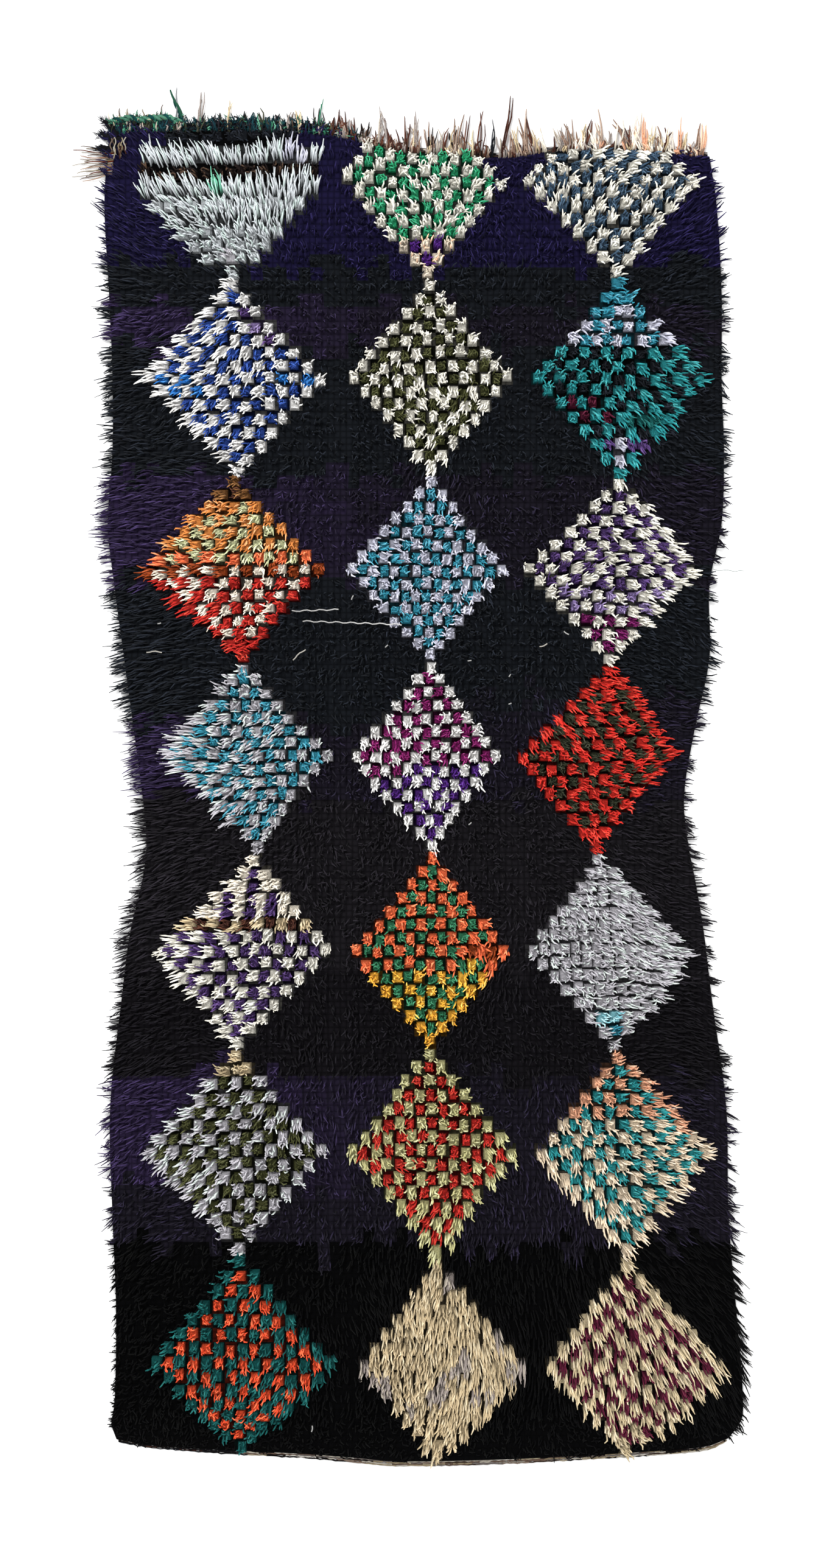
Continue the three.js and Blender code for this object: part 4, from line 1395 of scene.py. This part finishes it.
class RUG_OT_corner(bpy.types.Operator):
    """Lay the felted tufts and the tail of weft at the fringed end's left corner"""

    bl_idname = "rug.corner"
    bl_label = "Corner"

    # The felted tufts: where each starts and where it ends, from the corner of the body, and its radius.
    TUFTS = (
        ((0.016, 0.000), (-0.010, 0.028), 0.0052),
        ((0.022, -0.010), (-0.018, 0.004), 0.0050),
        ((0.022, -0.026), (-0.020, -0.020), 0.0052),
    )
    TUFT_DYES = ("coal", "black", "indigo")
    TAIL_YARNS = 18
    TAIL_DYES = ("fawn", "sand", "rust", "ivory", "fawn", "peach")
    STREAKS = 16
    STREAK_DYES = ("sand", "umber", "ivory", "fawn", "black")

    def execute(self, context):
        rng = np.random.default_rng(41)
        corner = [float(value) for value in body_place(np.array(0.0), np.array(0.0))]
        self.tufts(context.scene, *corner, rng)
        self.tail(rng)
        self.warps(*corner, rng)
        return {"FINISHED"}

    def tufts(self, scene, corner_x, corner_y, rng):
        """Thick felted lengths, three to a tuft, with fuzz on their outer parts."""
        felt, hairs, hair_reach = Lines(44), [], []
        t = np.linspace(0, 1, 9)
        for start, end, radius in self.TUFTS:
            start, end = np.array(start), np.array(end)
            for k in range(3):
                aside = 0.0022 * (k - 1)
                across = np.array([-(end - start)[1], (end - start)[0]]) / np.linalg.norm(end - start)
                middle = start + np.outer(t, end - start) + across * aside + 0.0012 * rng.normal(size=(9, 1))
                path = np.column_stack([corner_x + middle[:, 0], corner_y + middle[:, 1], 0.0068 - 0.001 * t])
                lump = radius * (0.72 + 0.2 * np.sin(t * 2.6 + k)) * np.sqrt(1.04 - t**4)
                felt.lay(path, lump, self.TUFT_DYES[k])
                hairs += [tuple(point) for point in path[3:].repeat(3, 0)]
                hair_reach += [(*((end - start) * 0.14), 0)] * 18
        dressed(laid("corner_tuft_strands", felt), "tuft", "corner_tufts")
        dyes = ["black"] * len(hairs)
        roots = Roots(
            hairs, spread=(0.003, 0.003, 0.0), reach=hair_reach, fan=(0.002, 0.003, 0.0), stray=0.003,
            rise=0.002, droop=2.2, girth=1.0, dye=dyes_of(dyes, scene.rug_dyes), tint=tints_of(dyes))
        dressed(grow("corner_tuft_fuzz", roots, 1, steps=2, radius=0.0008, curl=0.001, seed=4), "tuft")

    def tail(self, rng):
        """Fine loose wefts that leave the long edge and fall to the floor."""
        lines = Lines(43)
        for k in range(self.TAIL_YARNS):
            v = (1.1 + 1.4 * k / self.TAIL_YARNS) / KNOT_ROWS
            x, y = body_place(np.array(0.012), np.array(v))
            t = np.linspace(0, 1, 12)
            reach, fall = 0.045 + 0.028 * rng.uniform(), 0.024 * (k / self.TAIL_YARNS - 0.4)
            path = np.stack([
                x - reach * t,
                y - fall * t**1.3 + 0.0025 * t * np.sin(5 * t + rng.uniform(0, 6)),
                0.0080 - 0.0065 * t + 0.0006 * np.sin(9 * t + k),
            ], 1)
            lines.lay(path, 0.0010 * (1 - 0.4 * t**3), self.TAIL_DYES[k % len(self.TAIL_DYES)])
        dressed(laid("weft_tail_yarns", lines), "weft", "weft_tail")

    def warps(self, corner_x, corner_y, rng):
        """Bare warps that streak the corner's pile."""
        lines = Lines(47)
        for k in range(self.STREAKS):
            x = corner_x + 0.004 + 0.026 * rng.uniform()
            y = corner_y - 0.002 - 0.012 * rng.uniform()
            t = np.linspace(0, 1, 7)
            path = np.stack([
                x + 0.0018 * np.sin(7 * t + k), y - (0.016 + 0.014 * rng.uniform()) * t,
                0.0150 - 0.004 * (2 * t - 1) ** 2 + 0 * t], 1)
            lines.lay(path, 0.0011, self.STREAK_DYES[k % len(self.STREAK_DYES)])
        dressed(laid("corner_warps", lines), "weft")


class RUG_OT_stray_yarns(bpy.types.Operator):
    """Drop the odd threads that have caught in the pile"""

    bl_idname = "rug.stray_yarns"
    bl_label = "Stray yarns"

    # Where the middle lies across and along the body, how long, at what angle in degrees, and the dye. The
    # hairs are finer, and lie on the floor past the long edge.
    HAIRS = (
        (1.028, 0.3205, 0.052, -3, "silver"),
        (0.998, 0.3560, 0.010, 40, "silver"),
        (1.006, 0.3580, 0.010, -50, "silver"),
    )
    HAIRS_FROM = 0.98
    THREADS = (
        (0.335, 0.3515, 0.080, 2, "white"),
        (0.395, 0.3610, 0.170, -2, "white"),
        (0.300, 0.3850, 0.028, 40, "ivory"),
        (0.055, 0.3830, 0.026, 0, "ivory"),
        (0.070, 0.3610, 0.006, 10, "white"),
        (0.400, 0.3420, 0.008, 60, "white"),
        (0.715, 0.3780, 0.014, 20, "ivory"),
        (0.755, 0.3685, 0.010, -30, "white"),
        (0.590, 0.3900, 0.006, 20, "white"),
        (0.660, 0.4010, 0.005, 70, "white"),
        (0.665, 0.4220, 0.005, 10, "white"),
        (0.600, 0.5130, 0.006, 40, "white"),
        (0.450, 0.3790, 0.006, 30, "white"),
        (0.318, 0.9750, 0.011, 86, "white"),
    )

    def execute(self, context):
        rng = np.random.default_rng(51)
        lines = Lines(51)
        for across, along, length, angle, dye in (*self.THREADS, *self.HAIRS):
            is_hair = across >= self.HAIRS_FROM
            height = 0.006 if is_hair else STRAY_HEIGHT
            x, y = body_place(np.array(across), np.array(along))
            t = np.linspace(-0.5, 0.5, max(6, int(length / 0.006)))
            turn = np.radians(angle)
            sway = 0.0012 * np.sin(t * length / 0.004 + rng.uniform(0, 6))
            path = np.stack([
                x + length * t * np.cos(turn) - sway * np.sin(turn),
                y + length * t * np.sin(turn) + sway * np.cos(turn),
                height + 0.001 * np.sin(t * length / 0.003),
            ], 1)
            lines.lay(path, 0.0006 if is_hair else 0.0011, dye, shade=0.9)
        dressed(laid("stray_yarns", lines), "weft")
        return {"FINISHED"}


class RUG_OT_cloth(bpy.types.Operator):
    """Gather the pieces of yarn and the knot hearts of the rug's one laid sheet; nothing more is done with
    them
    """

    bl_idname = "rug.cloth"
    bl_label = "Cloth"

    FLAT = (1.10, 2.30)  # width and length, metres
    AREA = 2.36  # square metres

    def execute(self, context):
        yarns = [o for o in context.scene.objects if o.type == "MESH" and o.data.attributes.get("strand")]
        yarns.append(bpy.data.objects["knot_hearts"])
        return {"FINISHED"}


class RUG_OT_studio(bpy.types.Operator):
    """Lay the floor and set the light and the camera"""

    bl_idname = "rug.studio"
    bl_label = "Studio"

    PHOTO = (1360, 2576)
    PHOTO_MIDDLE_WARP = 675  # pixels
    PHOTO_NOMINAL_END = 245
    FLOOR_HALF = 8.0
    PILE_LEVEL = 0.012  # where the photo's scale holds
    # Each lamp: its name, place, size in metres and power in watts.
    LAMPS = (
        ("Key light", (-2.0, 3.0, 5.0), 1.8, 300.0),
        ("Fill light", (2.4, -2.2, 4.6), 2.6, 90.0),
    )

    def execute(self, context):
        scene = context.scene
        self.lay_floor(scene)
        self.set_light(scene)
        self.aim_camera(scene)
        scene.view_settings.view_transform = "Standard"
        return {"FINISHED"}

    def lay_floor(self, scene):
        mesh = bpy.data.meshes.new("floor")
        far = self.FLOOR_HALF
        mesh.from_pydata([(-far, -far, 0), (far, -far, 0), (far, far, 0), (-far, far, 0)], [], [(0, 1, 2, 3)])
        floor = bpy.data.objects.new("floor", mesh)
        scene.collection.objects.link(floor)
        shader = Shader("Pale floor")
        shader.surface.inputs["Base Color"].default_value = (*scene.rug_studio.floor, 1)
        shader.surface.inputs["Roughness"].default_value = 0.9
        mesh.materials.append(shader.material)
        floor.location.z = -0.0006

    def set_light(self, scene):
        world = bpy.data.worlds.new("Studio")
        world.use_nodes = True
        world.node_tree.nodes["Background"].inputs["Color"].default_value = (1, 1, 1, 1)
        world.node_tree.nodes["Background"].inputs["Strength"].default_value = 0.9
        scene.world = world
        for name, place, size, power in self.LAMPS:
            light = bpy.data.lights.new(name, "AREA")
            light.size = size
            light.energy = power
            lamp = bpy.data.objects.new(name, light)
            lamp.location = place
            lamp.rotation_euler = (-Vector(place)).to_track_quat("-Z", "Y").to_euler()
            scene.collection.objects.link(lamp)

    def aim_camera(self, scene):
        """Over the rug, with the photo's frame at the photo's scale."""
        studio = scene.rug_studio
        tall = self.PHOTO[1] * studio.scale
        camera = bpy.data.cameras.new("Camera")
        camera.sensor_fit = "VERTICAL"
        camera.sensor_height = 36.0
        camera.lens = camera.sensor_height * (studio.camera_height - self.PILE_LEVEL) / tall
        holder = bpy.data.objects.new("Camera", camera)
        holder.location = (
            MIDDLE_WARP + (self.PHOTO[0] / 2 - self.PHOTO_MIDDLE_WARP) * studio.scale,
            NOMINAL_END - (self.PHOTO[1] / 2 - self.PHOTO_NOMINAL_END) * studio.scale,
            studio.camera_height,
        )
        scene.collection.objects.link(holder)
        scene.camera = holder


OPERATORS = (
    RUG_OT_foundation,
    RUG_OT_lozenges,
    RUG_OT_ground,
    RUG_OT_selvedges,
    RUG_OT_fringed_end,
    RUG_OT_green_yarn,
    RUG_OT_plain_end,
    RUG_OT_corner,
    RUG_OT_stray_yarns,
    RUG_OT_cloth,
    RUG_OT_studio,
)


class RUG_PT_making(bpy.types.Panel):
    """The steps of making the rug, in order"""

    bl_label = "Rug"
    bl_idname = "RUG_PT_making"
    bl_space_type = "VIEW_3D"
    bl_region_type = "UI"
    bl_category = "Rug"

    def draw(self, context):
        for operator in OPERATORS:
            self.layout.operator(operator.bl_idname)


CLASSES = (*SETTINGS.values(), *OPERATORS, RUG_PT_making)


def register():
    for cls in CLASSES:
        bpy.utils.register_class(cls)
    for name, group in SETTINGS.items():
        setattr(bpy.types.Scene, name, PointerProperty(type=group))


def unregister():
    for name in SETTINGS:
        delattr(bpy.types.Scene, name)
    for cls in reversed(CLASSES):
        bpy.utils.unregister_class(cls)


def main():
    register()
    for operator in OPERATORS:
        group, name = operator.bl_idname.split(".")
        getattr(getattr(bpy.ops, group), name)()
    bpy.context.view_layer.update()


if __name__ == "__main__":
    main()
